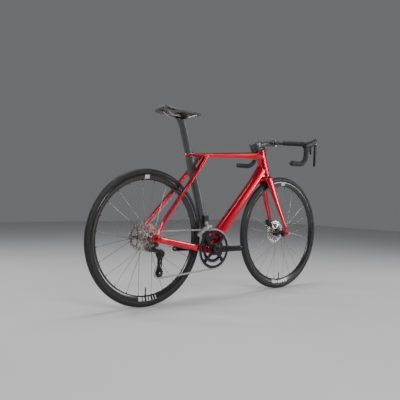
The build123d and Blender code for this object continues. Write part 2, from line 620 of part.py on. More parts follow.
# ---------------------------------------------------------------- brakes
def disc_brake(name, centre, rotor_radius, rotor_y, angle, tilt, size):
    """Caliper body that bridges the rotor's edge, and its two sliding pads."""
    reach = rotor_radius - 9
    at = Vector(centre.X + reach * math.cos(math.radians(angle)), rotor_y,
                centre.Z + reach * math.sin(math.radians(angle)))
    long_way = Vector(math.cos(math.radians(tilt)), 0, math.sin(math.radians(tilt)))
    plane = Plane(origin=at, x_dir=long_way, z_dir=(0, 1, 0))
    out = Vector(math.cos(math.radians(angle)), 0, math.sin(math.radians(angle)))
    body_plane = Plane(origin=at + out * 8, x_dir=long_way, z_dir=(0, 1, 0))
    body = brick(None, size, 5, plane=body_plane)
    body -= brick(None, (19, 19, 11.4), plane=plane)
    slot_radius = rotor_radius + 2.5
    body -= across((centre.X, centre.Z), rotor_y - 1.7, rotor_y + 1.7, slot_radius)
    pads = []
    inner = ROTOR_THICKNESS / 2 + PAD_GAP
    for side in (-1, 1):
        middle = plane.origin + Vector(0, side * (inner + 2), 0)
        pad_plane = Plane(origin=middle, x_dir=long_way, z_dir=(0, 1, 0))
        pads.append(brick(None, (18, 18, 4), 2, plane=pad_plane))
    save(f"{name}_pad_right", pads[0])
    save(f"{name}_pad_left", pads[1])
    return body


# ---------------------------------------------------------------- drivetrain
def chain_part():
    """Roller chain: alternate inner and outer links along the route."""
    links = []
    count = len(ROLLERS)
    for i in range(count):
        ax, az = ROLLERS[i]
        bx, bz = ROLLERS[(i + 1) % count]
        run = math.hypot(bx - ax, bz - az)
        plane = Plane(origin=((ax + bx) / 2, CHAIN_LINE, (az + bz) / 2), x_dir=(bx - ax, 0, bz - az),
                      z_dir=(0, 1, 0))
        inner = i % 2 == 0
        gap, thick = (1.05, 0.6) if inner else (1.75, 0.6)
        link = None
        for side in (-1, 1):
            low = gap if side > 0 else -gap - thick
            start = Plane(origin=plane.origin + Vector(0, low, 0), x_dir=plane.x_dir, z_dir=plane.z_dir)
            plate = extrude(start * SlotCenterToCenter(run, 8.4), amount=thick)
            link = plate if link is None else link + plate
        for dx in (-run / 2, run / 2):
            half = gap + 0.1 if inner else gap + thick
            low_plane = Plane(origin=plane.origin + plane.x_dir * dx - Vector(0, half, 0),
                              x_dir=plane.x_dir, z_dir=plane.z_dir)
            link += extrude(low_plane * Circle(3.85 if inner else 1.75), amount=2 * half)
            if inner:
                wide_plane = Plane(origin=plane.origin + plane.x_dir * dx - Vector(0, 3, 0),
                                   x_dir=plane.x_dir, z_dir=plane.z_dir)
                link -= extrude(wide_plane * Circle(1.8), amount=6)
        links.append(link)
    save("chain", *links)


def crank_arm(side, forward):
    """One crank arm from its boss on the spindle to the threaded pedal eye."""
    root_y, tip_y = side * 52, side * 66
    stations = []
    for t, deep, wide in ((0, 44, 16), (0.3, 34, 15), (0.75, 29, 14), (1.0, 31, 14)):
        x = BB_X + forward * CRANK_LENGTH * t
        y = root_y + side * 8 + (tip_y - root_y) * t * 0.8
        stations.append(section(Vector(x, y, BB_Z), (1, 0, 0), (0, 0, 1), deep, wide, "box"))
    end_x = BB_X + forward * CRANK_LENGTH
    arm = skin(stations)
    arm += across((end_x, BB_Z), *sorted((side * 64.2, side * 78.2)), 15.5)
    arm += across((BB_X, BB_Z), *sorted((side * 51, side * 68)), 23)
    return arm - across((end_x, BB_Z), -90, 90, PEDAL_THREAD_RADIUS)


def crank_parts():
    """Right crank with spindle, left crank, and the two bolted chainrings."""
    ring = sprocket(RING_TEETH, (BB_X, BB_Z), CHAIN_LINE, 1.9, 88, RING_PHASE)
    inner_y = CHAIN_LINE + 7.2
    small = sprocket(INNER_RING_TEETH, (BB_X, BB_Z), inner_y, 1.9, 54, 0)
    spider_y = -48.7
    bridge = []
    for i in range(4):
        angle = math.radians(45 + 90 * i)
        bridge.append(across(polar((BB_X, BB_Z), 57, angle), inner_y - 2.6, inner_y + 0.9, 7))
        ring += across(polar((BB_X, BB_Z), 80, angle), CHAIN_LINE - 0.95, CHAIN_LINE + 0.95, 12)
    small = small + bridge
    save("chainrings", ring, small)

    spider = across((BB_X, BB_Z), -52, -45.6, 34)
    for i in range(4):
        angle = math.radians(45 + 90 * i)
        along = Vector(math.cos(angle), 0, math.sin(angle))
        middle = Vector(BB_X, spider_y, BB_Z) + along * 50
        spider += brick(None, (74, 20, 3.4), plane=Plane(origin=middle, x_dir=along, z_dir=(0, 1, 0)))
    right = crank_arm(-1, 1) + spider
    spindle = across((BB_X, BB_Z), -60, 62, 12)
    right = right + spindle - across((BB_X, BB_Z), -70, 70, 9)
    for part in (ring, small):
        right -= part
    save("crank_right", max(right.solids(), key=lambda s: s.volume))
    left = crank_arm(1, -1) - spindle - across((BB_X, BB_Z), 0, 90, 9)
    save("crank_left", max(left.solids(), key=lambda s: s.volume))


def cassette_part():
    """Twelve cogs on one carrier, with the lockring."""
    cogs = None
    for i, teeth in enumerate(COG_TEETH):
        y = CHAIN_LINE + COG_SPACING * (i - CHAINED_COG)
        phase = COG_PHASE if i == CHAINED_COG else 0
        hole = 15 if i < 6 else 17
        cog = sprocket(teeth, (REAR_AXLE.X, REAR_AXLE.Z), y, 1.6, hole, phase)
        if i > 6:
            radius = pitch_radius(teeth)
            for k in range(6):
                angle = math.radians(60 * k + 10 * i)
                at = polar((REAR_AXLE.X, REAR_AXLE.Z), (radius + 20) / 2 - 1, angle)
                cog -= across(at, y - 3, y + 3, (radius - 29) / 2)
        cogs = cog if cogs is None else cogs + cog
    low = CHAIN_LINE - COG_SPACING * CHAINED_COG - 2.6
    high = CHAIN_LINE + COG_SPACING * (len(COG_TEETH) - 1 - CHAINED_COG) + 1
    carrier = across((REAR_AXLE.X, REAR_AXLE.Z), low, high, 18, 9.5)
    save("cassette", cogs + carrier)


def derailleur_parts():
    """Rear derailleur with its hanger, slanted link, knuckle, cage and pulleys."""
    slant = math.radians(33)
    fall = math.radians(30)
    link_way = Vector(math.cos(fall), -math.sin(slant) * math.sin(fall), -math.cos(slant) * math.sin(fall))
    shift_way = Vector(0, math.cos(slant), -math.sin(slant))
    hinge_way = link_way.cross(shift_way).normalized()
    link_length = 42.0
    far = Vector(-453, -71, 268)
    near = far - link_way * link_length
    lie = Plane(origin=near, x_dir=link_way, z_dir=hinge_way)

    def slab(base, outline, low, high):
        start = Plane(origin=base.origin + base.z_dir * low, x_dir=base.x_dir, z_dir=base.z_dir)
        return extrude(start * outline, amount=high - low)

    half = 8.0
    bar = slab(lie, Pos(link_length / 2, 0) * SlotCenterToCenter(link_length, 11), -half, half)
    bar -= slab(lie, Circle(2.05), -half - 1, half + 1)
    bar -= slab(lie, Pos(link_length, 0) * Circle(2.05), -half - 1, half + 1)
    pivot = (GUIDE_PULLEY[0] - 7, GUIDE_PULLEY[1] - 9)
    guide_swung = polar(pivot, math.hypot(7, 9), math.atan2(9, 7) + math.radians(CAGE_SWING))
    for shift in (OUTER_SHIFT, OUTER_SHIFT * 0.75, OUTER_SHIFT * 0.5):
        carried = (far - near).rotate(Axis((0, 0, 0), hinge_way), shift) - (far - near)
        pulley_room = Pos(*carried) * across(guide_swung, CHAIN_LINE - 1.6, CHAIN_LINE + 1.6, 29.2)
        bar -= pulley_room.rotate(Axis(near, hinge_way), -shift)
    save("rear_derailleur_link", max(bar.solids(), key=lambda s: s.volume))

    hanger_bolt = Vector(-489, -75, 311)
    ears = slab(lie, Pos(-4, 0) * SlotOverall(20, 12), half + 0.4, half + 3.4)
    ears += slab(lie, Pos(-4, 0) * SlotOverall(20, 12), -half - 3.4, -half - 0.4)
    ears += slab(lie, Pos(-10.5, 0) * Rectangle(6, 12), -half - 3.4, half + 3.4)
    link_room = slab(lie, SlotCenterToCenter(2, 12.6), -half - 0.3, half + 0.3)
    post = rod(hanger_bolt + Vector(0, 5, 0), hanger_bolt + Vector(0, -8, 0), 9)
    neck_from = near - link_way * 10.5
    body = ears + post + rod(hanger_bolt + Vector(0, -3, -2), neck_from, 5.5)
    hanger_outline = [(-503, 328), (-483, 328), (-480, 311), (-484, 301), (-494, 301), (-499, 311)]
    hanger = side_plate(hanger_outline, -77.6, -71)
    hanger -= across((REAR_AXLE.X, REAR_AXLE.Z), -80, -70, 19)
    body = body - hanger
    body = body - across((REAR_AXLE.X, REAR_AXLE.Z), -66.5, -60, 27) - link_room
    body += slab(lie, Circle(2.0), -half - 3.4, half + 3.4)
    save("rear_derailleur_body", max(body.solids(), key=lambda s: s.volume), hanger)

    knuckle_ears = slab(lie, Pos(link_length + 4, 0) * SlotOverall(20, 12), half + 0.4, half + 3.4)
    knuckle_ears += slab(lie, Pos(link_length + 4, 0) * SlotOverall(20, 12), -half - 3.4, -half - 0.4)
    knuckle_ears += slab(lie, Pos(link_length + 10.5, 0) * Rectangle(6, 12), -half - 3.4, half + 3.4)
    knuckle_ears += slab(lie, Pos(link_length, 0) * Circle(2.0), -half - 3.4, half + 3.4)
    housing = across(pivot, -66, -54.4, 13)
    neck = rod(near + link_way * (link_length + 10.5), Vector(pivot[0], -60, pivot[1]), 5.5)
    knuckle = knuckle_ears + housing + neck
    link_sweep = slab(lie, SlotCenterToCenter(2 * link_length + 1, 12.4), -half - 0.3, half + 0.3)
    for shift in (0, OUTER_SHIFT * 0.75, OUTER_SHIFT):
        knuckle -= link_sweep.rotate(Axis(far, hinge_way), shift)
    knuckle += slab(lie, Pos(link_length, 0) * Circle(2.0), -half - 3.4, half + 3.4)
    knuckle -= across(pivot, -60, -54, 4.06)
    save("rear_derailleur_knuckle", max(knuckle.solids(), key=lambda s: s.volume))

    gx, gz = GUIDE_PULLEY
    tx, tz = TENSION_PULLEY
    outer_low, inner_low = CHAIN_LINE - 7.2, CHAIN_LINE + 4.4
    spread = math.hypot(tx - gx, tz - gz)
    mid = Vector((gx + tx) / 2, 0, (gz + tz) / 2)
    along = Vector(tx - gx, 0, tz - gz)
    plates = None
    for low, thick in ((outer_low, 2.4), (inner_low, 1.6)):
        base = Plane(origin=Vector(mid.X, low, mid.Z), x_dir=along, z_dir=(0, 1, 0))
        plate = extrude(base * SlotCenterToCenter(spread, 22), amount=thick)
        window = extrude(base * SlotCenterToCenter(spread - 48, 9), amount=thick)
        plate = plate - window
        plates = plate if plates is None else plates + plate
    for px, pz in (GUIDE_PULLEY, TENSION_PULLEY):
        plates += across((px, pz), outer_low, inner_low + 1.6, 3)
    plates += across(pivot, outer_low, outer_low + 2.4, 12)
    plates += across(pivot, -59.5, outer_low + 1, 4)
    save("rear_derailleur_cage", plates)
    for name, (px, pz), phase in (("guide_pulley", GUIDE_PULLEY, GUIDE_PHASE),
                                  ("tension_pulley", TENSION_PULLEY, TENSION_PHASE)):
        pulley = sprocket(PULLEY_TEETH, (px, pz), CHAIN_LINE, 1.8, 3.06, phase)
        save(name, pulley)
    for label, value in (("derailleur link pivot", near), ("derailleur knuckle pivot", far)):
        print(label, [round(v / 1000, 6) for v in value])
    print("derailleur hinge axis", [round(v, 6) for v in hinge_way], "cage pivot", pivot)


def front_derailleur_parts():
    """Motor body on the seat tube and the cage that straddles the chain."""
    outer_y, inner_y = CHAIN_LINE - 5.4, CHAIN_LINE + 5.0
    cage_points = [(-204, 352), (-199, 338), (-160, 366), (-132, 384), (-112, 388), (-112, 397),
                   (-140, 398), (-170, 386)]
    outer = side_plate(cage_points, outer_y - 1.2, outer_y)
    inner = side_plate([(x, z + 2) for x, z in cage_points], inner_y, inner_y + 1.2)
    tail = side_plate([(-206, 352), (-203, 343), (-197, 343), (-200, 354)], outer_y - 1.2, inner_y + 1.2)
    bridge = side_plate([(-150, 392), (-136, 393), (-136, 402), (-150, 402)], outer_y - 1.2, inner_y + 1.2)
    arm = side_plate([(-158, 398), (-132, 398), (-134, 418), (-156, 418)], inner_y - 3, inner_y + 1.2)
    save("front_derailleur_cage", outer + inner + tail + bridge + arm)
    body = brick((-134, -20, 428), (34, 24, 40), 5) + brick((-128, -20, 408), (22, 18, 24), 4)
    seat_plane = Plane(origin=seat_point(0), x_dir=AHEAD_SEAT, z_dir=UP_SEAT)
    seat_solid = extrude(seat_plane * SlotOverall(43.2, 34.2), amount=300)
    save("front_derailleur_body", max((body - seat_solid).solids(), key=lambda s: s.volume))


def main():
    os.makedirs("parts", exist_ok=True)
    stays = frame_parts()
    seating_parts()
    fork = cockpit_parts()
    front_hub = wheel_parts("front", FRONT_AXLE, (-30, 24), 20, 49.9, FRONT_ROTOR_RADIUS, FRONT_ROTOR_Y)
    save("front_hub", front_hub)
    rear_hub = wheel_parts("rear", REAR_AXLE, (-17, 34), 22, 70.9, REAR_ROTOR_RADIUS, REAR_ROTOR_Y)
    save("rear_hub", rear_hub)
    front_caliper = disc_brake("front", FRONT_AXLE, FRONT_ROTOR_RADIUS, FRONT_ROTOR_Y, 136, 107, (46, 26, 28))
    foot_lean = math.radians(110)
    foot_way = (math.cos(foot_lean), 0, math.sin(foot_lean))
    foot_plane = Plane(origin=(447, 51, 396), x_dir=foot_way, z_dir=(0, 1, 0))
    front_foot = brick(None, (40, 12, 15), 2, plane=foot_plane)
    front_caliper = front_caliper + front_foot - fork
    save("front_brake_caliper", max(front_caliper.solids(), key=lambda s: s.volume))
    rear_caliper = disc_brake("rear", REAR_AXLE, REAR_ROTOR_RADIUS, REAR_ROTOR_Y, 26, 12, (46, 26, 26))
    rear_foot = brick((-424, 66, 350), (30, 8, 26), 2)
    rear_caliper = rear_caliper + rear_foot - stays
    save("rear_brake_caliper", max(rear_caliper.solids(), key=lambda s: s.volume))
    save("rear_thru_axle", across((REAR_AXLE.X, REAR_AXLE.Z), -78.6, 80.5, THRU_AXLE_RADIUS))
    chain_part()
    crank_parts()
    cassette_part()
    derailleur_parts()
    front_derailleur_parts()


main()
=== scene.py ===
"""Road bicycle: the looks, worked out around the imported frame."""

import math

import bmesh
import bpy
import numpy as np
from bpy.props import FloatProperty, FloatVectorProperty, PointerProperty
from mathutils import Matrix, Vector


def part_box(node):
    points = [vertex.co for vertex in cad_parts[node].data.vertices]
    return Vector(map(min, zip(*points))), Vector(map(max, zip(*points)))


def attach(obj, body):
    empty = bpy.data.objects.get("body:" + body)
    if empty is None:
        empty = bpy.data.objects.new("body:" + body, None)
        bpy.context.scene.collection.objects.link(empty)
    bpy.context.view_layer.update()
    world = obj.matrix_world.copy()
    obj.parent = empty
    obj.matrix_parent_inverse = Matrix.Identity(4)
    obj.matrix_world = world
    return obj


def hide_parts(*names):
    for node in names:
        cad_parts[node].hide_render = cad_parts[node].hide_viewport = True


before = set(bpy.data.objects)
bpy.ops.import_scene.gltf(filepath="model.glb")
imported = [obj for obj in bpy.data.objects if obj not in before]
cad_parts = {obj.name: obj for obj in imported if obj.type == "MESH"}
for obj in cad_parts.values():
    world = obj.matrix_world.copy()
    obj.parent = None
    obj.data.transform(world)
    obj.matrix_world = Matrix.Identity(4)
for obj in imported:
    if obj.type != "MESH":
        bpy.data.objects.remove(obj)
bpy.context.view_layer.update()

bl_info = {
    "name": "Road bicycle",
    "version": (1, 0, 0),
    "blender": (4, 5, 0),
    "location": "3D View > Sidebar > Bicycle",
    "description": "Builds the visible surfaces and finishes of a road bicycle round its fixed frame",
    "category": "Object",
}

# lengths below are in millimetres, except the voxels, which are in metres
MM = 0.001
BOTTOM_BRACKET = np.array((-89.0, 0.0, 269.0))
REAR_AXLE = np.array((-493.0, 0.0, 339.0))
FRONT_AXLE = np.array((493.0, 0.0, 339.0))
HEAD_SLOPE = math.radians(73.0)
SEAT_SLOPE = math.radians(72.9)
UP_HEAD = np.array((-math.cos(HEAD_SLOPE), 0.0, math.sin(HEAD_SLOPE)))
AHEAD_HEAD = np.array((math.sin(HEAD_SLOPE), 0.0, math.cos(HEAD_SLOPE)))
UP_SEAT = np.array((-math.cos(SEAT_SLOPE), 0.0, math.sin(SEAT_SLOPE)))
AHEAD_SEAT = np.array((math.sin(SEAT_SLOPE), 0.0, math.cos(SEAT_SLOPE)))
FORK_RAKE = 43.0
STEER_FOOT = FRONT_AXLE - AHEAD_HEAD * FORK_RAKE
CHAIN_LINE = -46.8
GUIDE_PULLEY = np.array((-444.0, 262.0))
TENSION_PULLEY = np.array((-449.0, 168.9))
CRANK_LENGTH = 172.5
LEVER_SIDE = 200.0
SPOKE_END_RADIUS = 286.0
RIM_BED_RADIUS = 313.0
ROTOR_RADIUS = 69.5
FRONT_FLANGES, REAR_FLANGES = (-30, 24), (-17, 34)
FRONT_ROTOR_SIDE, REAR_ROTOR_SIDE = 38.0, 55.0
MAST_VOXEL, STEM_VOXEL, CRANK_VOXEL = 0.0022, 0.0018, 0.0011
RING_BOLT_ANGLES = np.radians((45, 135, 225, 315))
FORWARD, LEFT, UPWARD = (1.0, 0.0, 0.0), (0.0, 1.0, 0.0), (0.0, 0.0, 1.0)
DOWNWARD = (0.0, 0.0, -1.0)

# middle and half width, in degrees round the wheel, of the plain pale blocks on each rim
RIM_MARKS = {
    "rear": ((92.4, 2.2), (263.0, 1.6), (266.6, 1.1), (270.8, 0.8), (273.8, 0.8), (277.4, 0.8),
             (280.6, 0.8)),
    "front": ((88.0, 3.4), (259.5, 2.2), (264.0, 1.4), (269.0, 1.0), (273.0, 1.0), (277.0, 1.0),
              (281.0, 1.0)),
}


# ------------------------------------------------------------------ user values
class BicycleSizes(bpy.types.PropertyGroup):
    """Sizes of the pieces that a user may want to change."""

    floor_size: FloatProperty(name="Floor", description="Side of the square studio floor",
                              default=14.0, unit="LENGTH")
    tape_pitch: FloatProperty(name="Tape pitch", description="Advance of the bar tape in one turn",
                              default=0.019, unit="LENGTH")
    spoke_blade: FloatProperty(name="Spoke blade", description="Width of the flattened middle of a spoke",
                               default=0.0026, unit="LENGTH")
    saddle_crown: FloatProperty(name="Saddle crown", description="Fall of the saddle's sides",
                                default=0.009, unit="LENGTH")
    shell_voxel: FloatProperty(name="Shell voxel", description="Voxel that frame and fork are merged at",
                               default=0.0024, unit="LENGTH")


class BicycleColours(bpy.types.PropertyGroup):
    """Base colours of the finishes."""

    paint: FloatVectorProperty(name="Paint", description="Candy paint of the frame and fork",
                               default=(0.62, 0.0008, 0.024), subtype="COLOR", size=3, min=0, max=1)
    carbon: FloatVectorProperty(name="Carbon", description="Satin grey of the seat tube and post",
                                default=(0.040, 0.042, 0.045), subtype="COLOR", size=3, min=0, max=1)
    rubber: FloatVectorProperty(name="Rubber", description="Tyre rubber",
                                default=(0.0055, 0.0056, 0.006), subtype="COLOR", size=3, min=0, max=1)
    black: FloatVectorProperty(name="Black parts", description="Anodised and moulded black parts",
                               default=(0.0075, 0.0075, 0.0085), subtype="COLOR", size=3, min=0, max=1)
    steel: FloatVectorProperty(name="Steel", description="Bright chain, cogs, rotors and spokes",
                               default=(0.56, 0.55, 0.53), subtype="COLOR", size=3, min=0, max=1)
    mark: FloatVectorProperty(name="Rim mark", description="Plain pale blocks on the rims",
                              default=(0.62, 0.62, 0.64), subtype="COLOR", size=3, min=0, max=1)


def sizes():
    """The scene's sizes."""
    return bpy.context.scene.bicycle_sizes


def colours():
    """The scene's base colours."""
    return bpy.context.scene.bicycle_colours


# ------------------------------------------------------------------ surfaces
def unit(vectors):
    """Each vector divided by its own length."""
    vectors = np.asarray(vectors, float)
    return vectors / np.linalg.norm(vectors, axis=-1, keepdims=True)


def steer_point(up, ahead=0.0, side=0.0):
    """A point along, ahead of and beside the steering axis, in millimetres."""
    return STEER_FOOT + UP_HEAD * up + AHEAD_HEAD * ahead + np.array((0.0, side, 0.0))


def seat_point(up, ahead=0.0, side=0.0):
    """A point along, ahead of and beside the seat tube's axis, in millimetres."""
    return BOTTOM_BRACKET + UP_SEAT * up + AHEAD_SEAT * ahead + np.array((0.0, side, 0.0))


def cubic(a, b, c, d, u):
    """Catmull-Rom cubic between b and c, with a before and d after, at the share u of the way.

    It is half of 2b + (c - a)u + (2a - 5b + 4c - d)u^2 + (3b - a - 3c + d)u^3.
    """
    square, cube = u ** 2, u ** 3
    return 0.5 * (2 * b + (c - a) * u + (2 * a - 5 * b + 4 * c - d) * square
                  + (3 * b - a - 3 * c + d) * cube)


def smooth_rows(stations, count):
    """Rows read at equal steps along a cubic through the stations."""
    p = np.asarray(stations, float)
    p = np.vstack((2 * p[0] - p[1], p, 2 * p[-1] - p[-2]))
    t = np.linspace(0, len(p) - 3, count)
    i = np.minimum(t.astype(int), len(p) - 4)
    u = (t - i)[:, None]
    return cubic(p[i], p[i + 1], p[i + 2], p[i + 3], u)


def smooth_loop(points, count):
    """Closed cubic through the points, read at equal steps."""
    p = np.asarray(points, float)
    n = len(p)
    t = np.linspace(0, n, count, endpoint=False)
    i = t.astype(int)
    u = (t - i)[:, None]
    return cubic(p[(i - 1) % n], p[i % n], p[(i + 1) % n], p[(i + 2) % n], u)


def signed_power(values, power):
    """The values' sizes raised to a power, with their signs kept."""
    return np.sign(values) * np.abs(values) ** power


def section_grid(centre, up, side, half_up, half_side, square, around):
    """Grid of superellipse sections: up * h * sin^(2/n) + side * w * cos^(2/n), n the squareness."""
    angle = np.linspace(0, 2 * np.pi, around, endpoint=False)
    power = 2 / square[:, None]
    rise = signed_power(np.sin(angle)[None], power) * half_up[:, None]
    reach = signed_power(np.cos(angle)[None], power) * half_side[:, None]
    return centre[:, None] + up[:, None] * rise[..., None] + side[:, None] * reach[..., None]


def rounded_ends(grid, reach=(0.0, 0.0), steps=5):
    """Adds rings that shrink as a quarter ellipse past each end, so the shape closes in a dome."""
    turn = np.linspace(0, np.pi / 2, steps + 1)[1:]
    scale = np.maximum(np.cos(turn), 0.02)
    parts = [grid]
    for end, length in ((0, reach[0]), (-1, reach[1])):
        ring = grid[end]
        middle = ring.mean(0)
        inner = grid[1 if end == 0 else -2].mean(0)
        out = unit(middle - inner)
        dome = out * (length * np.sin(turn))[:, None, None]
        rings = middle + (ring - middle)[None] * scale[:, None, None] + dome
        parts = [rings[::-1]] + parts if end == 0 else parts + [rings]
    return np.concatenate(parts)


def bar_grid(stations, rings, around, upright=(0.0, 0.0, 1.0), ends=(1.0, 1.0)):
    """Solid bar along a smooth path; each station is x, y, z, half depth, half width, squareness."""
    rows = smooth_rows(stations, rings)
    centre = rows[:, :3]
    way = unit(np.gradient(centre, axis=0))
    side = unit(np.cross(way, np.asarray(upright, float)))
    up = np.cross(side, way)
    grid = section_grid(centre, up, side, rows[:, 3], rows[:, 4], rows[:, 5], around)
    return rounded_ends(grid, ends)


def flat_grid(stations, rings, around, ends, end_steps):
    """Flat bar: a superellipse that is wide in the wheel's plane and thin across it."""
    rows = smooth_rows(stations, rings)
    centre = rows[:, :3]
    way = unit(np.gradient(centre, axis=0))
    across = unit(np.cross(way, np.array(LEFT)))
    thin = np.cross(across, way)
    grid = section_grid(centre, across, thin, rows[:, 3], rows[:, 4], rows[:, 5], around)
    return rounded_ends(grid, ends, end_steps)


def upright_grid(stations, rings, around, normal, up, ends=(1.0, 1.0)):
    """Solid through parallel sections: the planes keep one normal, so a flared joint isn't skewed."""
    rows = smooth_rows(stations, rings)
    count = len(rows)
    up_rows = np.repeat(np.asarray(up, float)[None], count, 0)
    side = unit(np.cross(np.asarray(normal, float), np.asarray(up, float)))
    side_rows = np.repeat(side[None], count, 0)
    grid = section_grid(rows[:, :3], up_rows, side_rows, rows[:, 3], rows[:, 4], rows[:, 5], around)
    return rounded_ends(grid, ends)


def spun_grid(profile, centre, around):
    """Profile of (radius, y) turned about a line along Y: x = r cos a, z = r sin a."""
    profile = np.asarray(profile, float)
    angle = np.linspace(0, 2 * np.pi, around, endpoint=False)
    radius, y = profile[:, 0][:, None], profile[:, 1][:, None]
    x = radius * np.cos(angle) + centre[0]
    z = radius * np.sin(angle) + centre[2]
    return np.stack((x, np.broadcast_to(y + centre[1], x.shape), z), -1)


def rod_grid(start, end, radius, around=16, dome=0.0):
    """Round bar between two points."""
    start, end = np.asarray(start, float), np.asarray(end, float)
    way = unit(end - start)
    helper = np.array((0.0, 0.0, 1.0)) if abs(way[2]) < 0.9 else np.array((1.0, 0.0, 0.0))
    side = unit(np.cross(way, helper))
    up = np.cross(side, way)
    centre = np.stack((start, start * 0.5 + end * 0.5, end))
    ones = np.ones(3)
    grid = section_grid(centre, np.repeat(up[None], 3, 0), np.repeat(side[None], 3, 0),
                        ones * radius, ones * radius, ones * 2.0, around)
    return rounded_ends(grid, (dome, dome), 3 if dome else 1)


def cross_rod(middle, half, radius, around=32, dome=0.0):
    """Round bar along Y, the given half length to each side of its middle."""
    return rod_grid(middle - (0, half, 0), middle + (0, half, 0), radius, around, dome)


class Shape:
    """Grids gathered into one mesh, with a UV of (columns, rows) and a finish number for each grid."""

    def __init__(self):
        self.points, self.faces, self.uvs, self.slots = [], [], [], []
        self.count = 0

    def add(self, grid, closed_rows=False, slot=0):
        """A grid that wraps along its columns; its open ends are closed by one face each."""
        rows, columns = grid.shape[:2]
        last = rows if closed_rows else rows - 1
        r, c = np.meshgrid(np.arange(last), np.arange(columns), indexing="ij")
        r, c = r.ravel(), c.ravel()
        r2, c2 = (r + 1) % rows, (c + 1) % columns
        quads = np.stack((r * columns + c, r * columns + c2, r2 * columns + c2, r2 * columns + c), -1)
        corner_c = np.stack((c, c + 1, c + 1, c), -1) / columns
        corner_r = np.stack((r, r, r + 1, r + 1), -1) / max(last, 1)
        self.faces.extend((quads + self.count).tolist())
        self.uvs.append(np.stack((corner_c, corner_r), -1).reshape(-1, 2))
        self.slots.extend([slot] * len(quads))
        if not closed_rows:
            first = np.arange(columns)[::-1] + self.count
            final = np.arange(columns) + (rows - 1) * columns + self.count
            self.faces.extend((first.tolist(), final.tolist()))
            self.uvs.append(np.zeros((2 * columns, 2)))
            self.slots.extend((slot, slot))
        self.points.append(grid.reshape(-1, 3))
        self.count += rows * columns
        return self

    def make(self, name, materials, sharp=40.0):
        """The Blender object, in metres, with faces turned outwards and edges over the sharp angle kept."""
        mesh = bpy.data.meshes.new(name)
        mesh.from_pydata((np.concatenate(self.points) * MM).tolist(), [], self.faces)
        layer = mesh.uv_layers.new(name="UVMap")
        layer.data.foreach_set("uv", np.concatenate(self.uvs).astype(np.float32).ravel())
        mesh.polygons.foreach_set("material_index", self.slots)
        for material in materials:
            mesh.materials.append(material)
        turn_outwards(mesh)
        mesh.shade_smooth()
        mesh.set_sharp_from_angle(angle=math.radians(sharp))
        piece = bpy.data.objects.new(name, mesh)
        bpy.context.scene.collection.objects.link(piece)
        return piece


def circle_loop(centre, radius, count=24, wave=0.0, waves=0):
    """Closed (x, z) loop: radius + wave * cos(waves * a) at each angle a."""
    angle = np.linspace(0, 2 * np.pi, count, endpoint=False)
    reach = radius + wave * np.cos(waves * angle)
    return np.stack((centre[0] + reach * np.cos(angle), centre[1] + reach * np.sin(angle)), -1)


def arc_window(centre, inner, outer, start, end, count=14):
    """Closed (x, z) loop between two radii and two angles, in degrees."""
    angle = np.radians(np.linspace(start, end, count))
    rim = np.stack((np.cos(angle), np.sin(angle)), -1)
    return np.asarray(centre) + np.vstack((rim * outer, rim[::-1] * inner))


def strap_loop(start, end, start_radius, end_radius, count=14):
    """Closed (x, z) loop round two circles: half of each, joined by straight sides."""
    start, end = np.asarray(start, float), np.asarray(end, float)
    heading = math.atan2(*(end - start)[::-1])
    near = heading + np.linspace(0.5 * np.pi, 1.5 * np.pi, count)
    far = heading + np.linspace(-0.5 * np.pi, 0.5 * np.pi, count)
    return np.vstack((start + start_radius * np.stack((np.cos(near), np.sin(near)), -1),
                      end + end_radius * np.stack((np.cos(far), np.sin(far)), -1)))


def plate(name, loops, y_low, y_high, material, bevel=0.25):
    """Flat plate in a plane of constant Y: the first loop is its outline, the others are cut out."""
    curve = bpy.data.curves.new(name, "CURVE")
    curve.dimensions = "2D"
    curve.fill_mode = "BOTH"
    for loop in loops:
        spline = curve.splines.new("POLY")
        spline.points.add(len(loop) - 1)
        rows = np.column_stack((loop * MM, np.zeros(len(loop)), np.ones(len(loop))))
        spline.points.foreach_set("co", rows.ravel())
        spline.use_cyclic_u = True
    curve.extrude = ((y_high - y_low) / 2 - bevel) * MM
    curve.bevel_depth = bevel * MM
    curve.bevel_resolution = 1
    flat = bpy.data.objects.new(name, curve)
    bpy.context.scene.collection.objects.link(flat)
    depsgraph = bpy.context.evaluated_depsgraph_get()
    mesh = bpy.data.meshes.new_from_object(flat.evaluated_get(depsgraph))
    bpy.data.objects.remove(flat)
    stand = Matrix.Rotation(math.pi / 2, 4, "X")
    mesh.transform(Matrix.Translation((0, (y_low + y_high) / 2 * MM, 0)) @ stand)
    weld = bmesh.new()
    weld.from_mesh(mesh)
    bmesh.ops.remove_doubles(weld, verts=weld.verts[:], dist=1e-6)
    bmesh.ops.recalc_face_normals(weld, faces=weld.faces[:])
    weld.to_mesh(mesh)
    weld.free()
    mesh.materials.clear()
    mesh.materials.append(material)
    mesh.shade_smooth()
    mesh.set_sharp_from_angle(angle=math.radians(30))
    piece = bpy.data.objects.new(name, mesh)
    bpy.context.scene.collection.objects.link(piece)
    return piece


def turn_outwards(mesh):
    """Makes every closed part's faces point outwards."""
    work = bmesh.new()
    work.from_mesh(mesh)
    bmesh.ops.recalc_face_normals(work, faces=work.faces[:])
    work.to_mesh(mesh)
    work.free()


def place(piece, body, slot, *nodes):
    """Rides the piece on a body and lets it stand for CAD nodes, which it hides; the slot is not used."""
    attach(piece, body)
    if nodes:
        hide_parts(*nodes)
    return piece


def build(name, look, body, slot, nodes, *grids, sharp=40.0):
    """One piece of one finish from grids that wrap along their columns, placed on its body."""
    shape = Shape()
    for grid in grids:
        shape.add(grid)
    return place(shape.make(name, [LOOKS[look]], sharp), body, slot, *nodes)


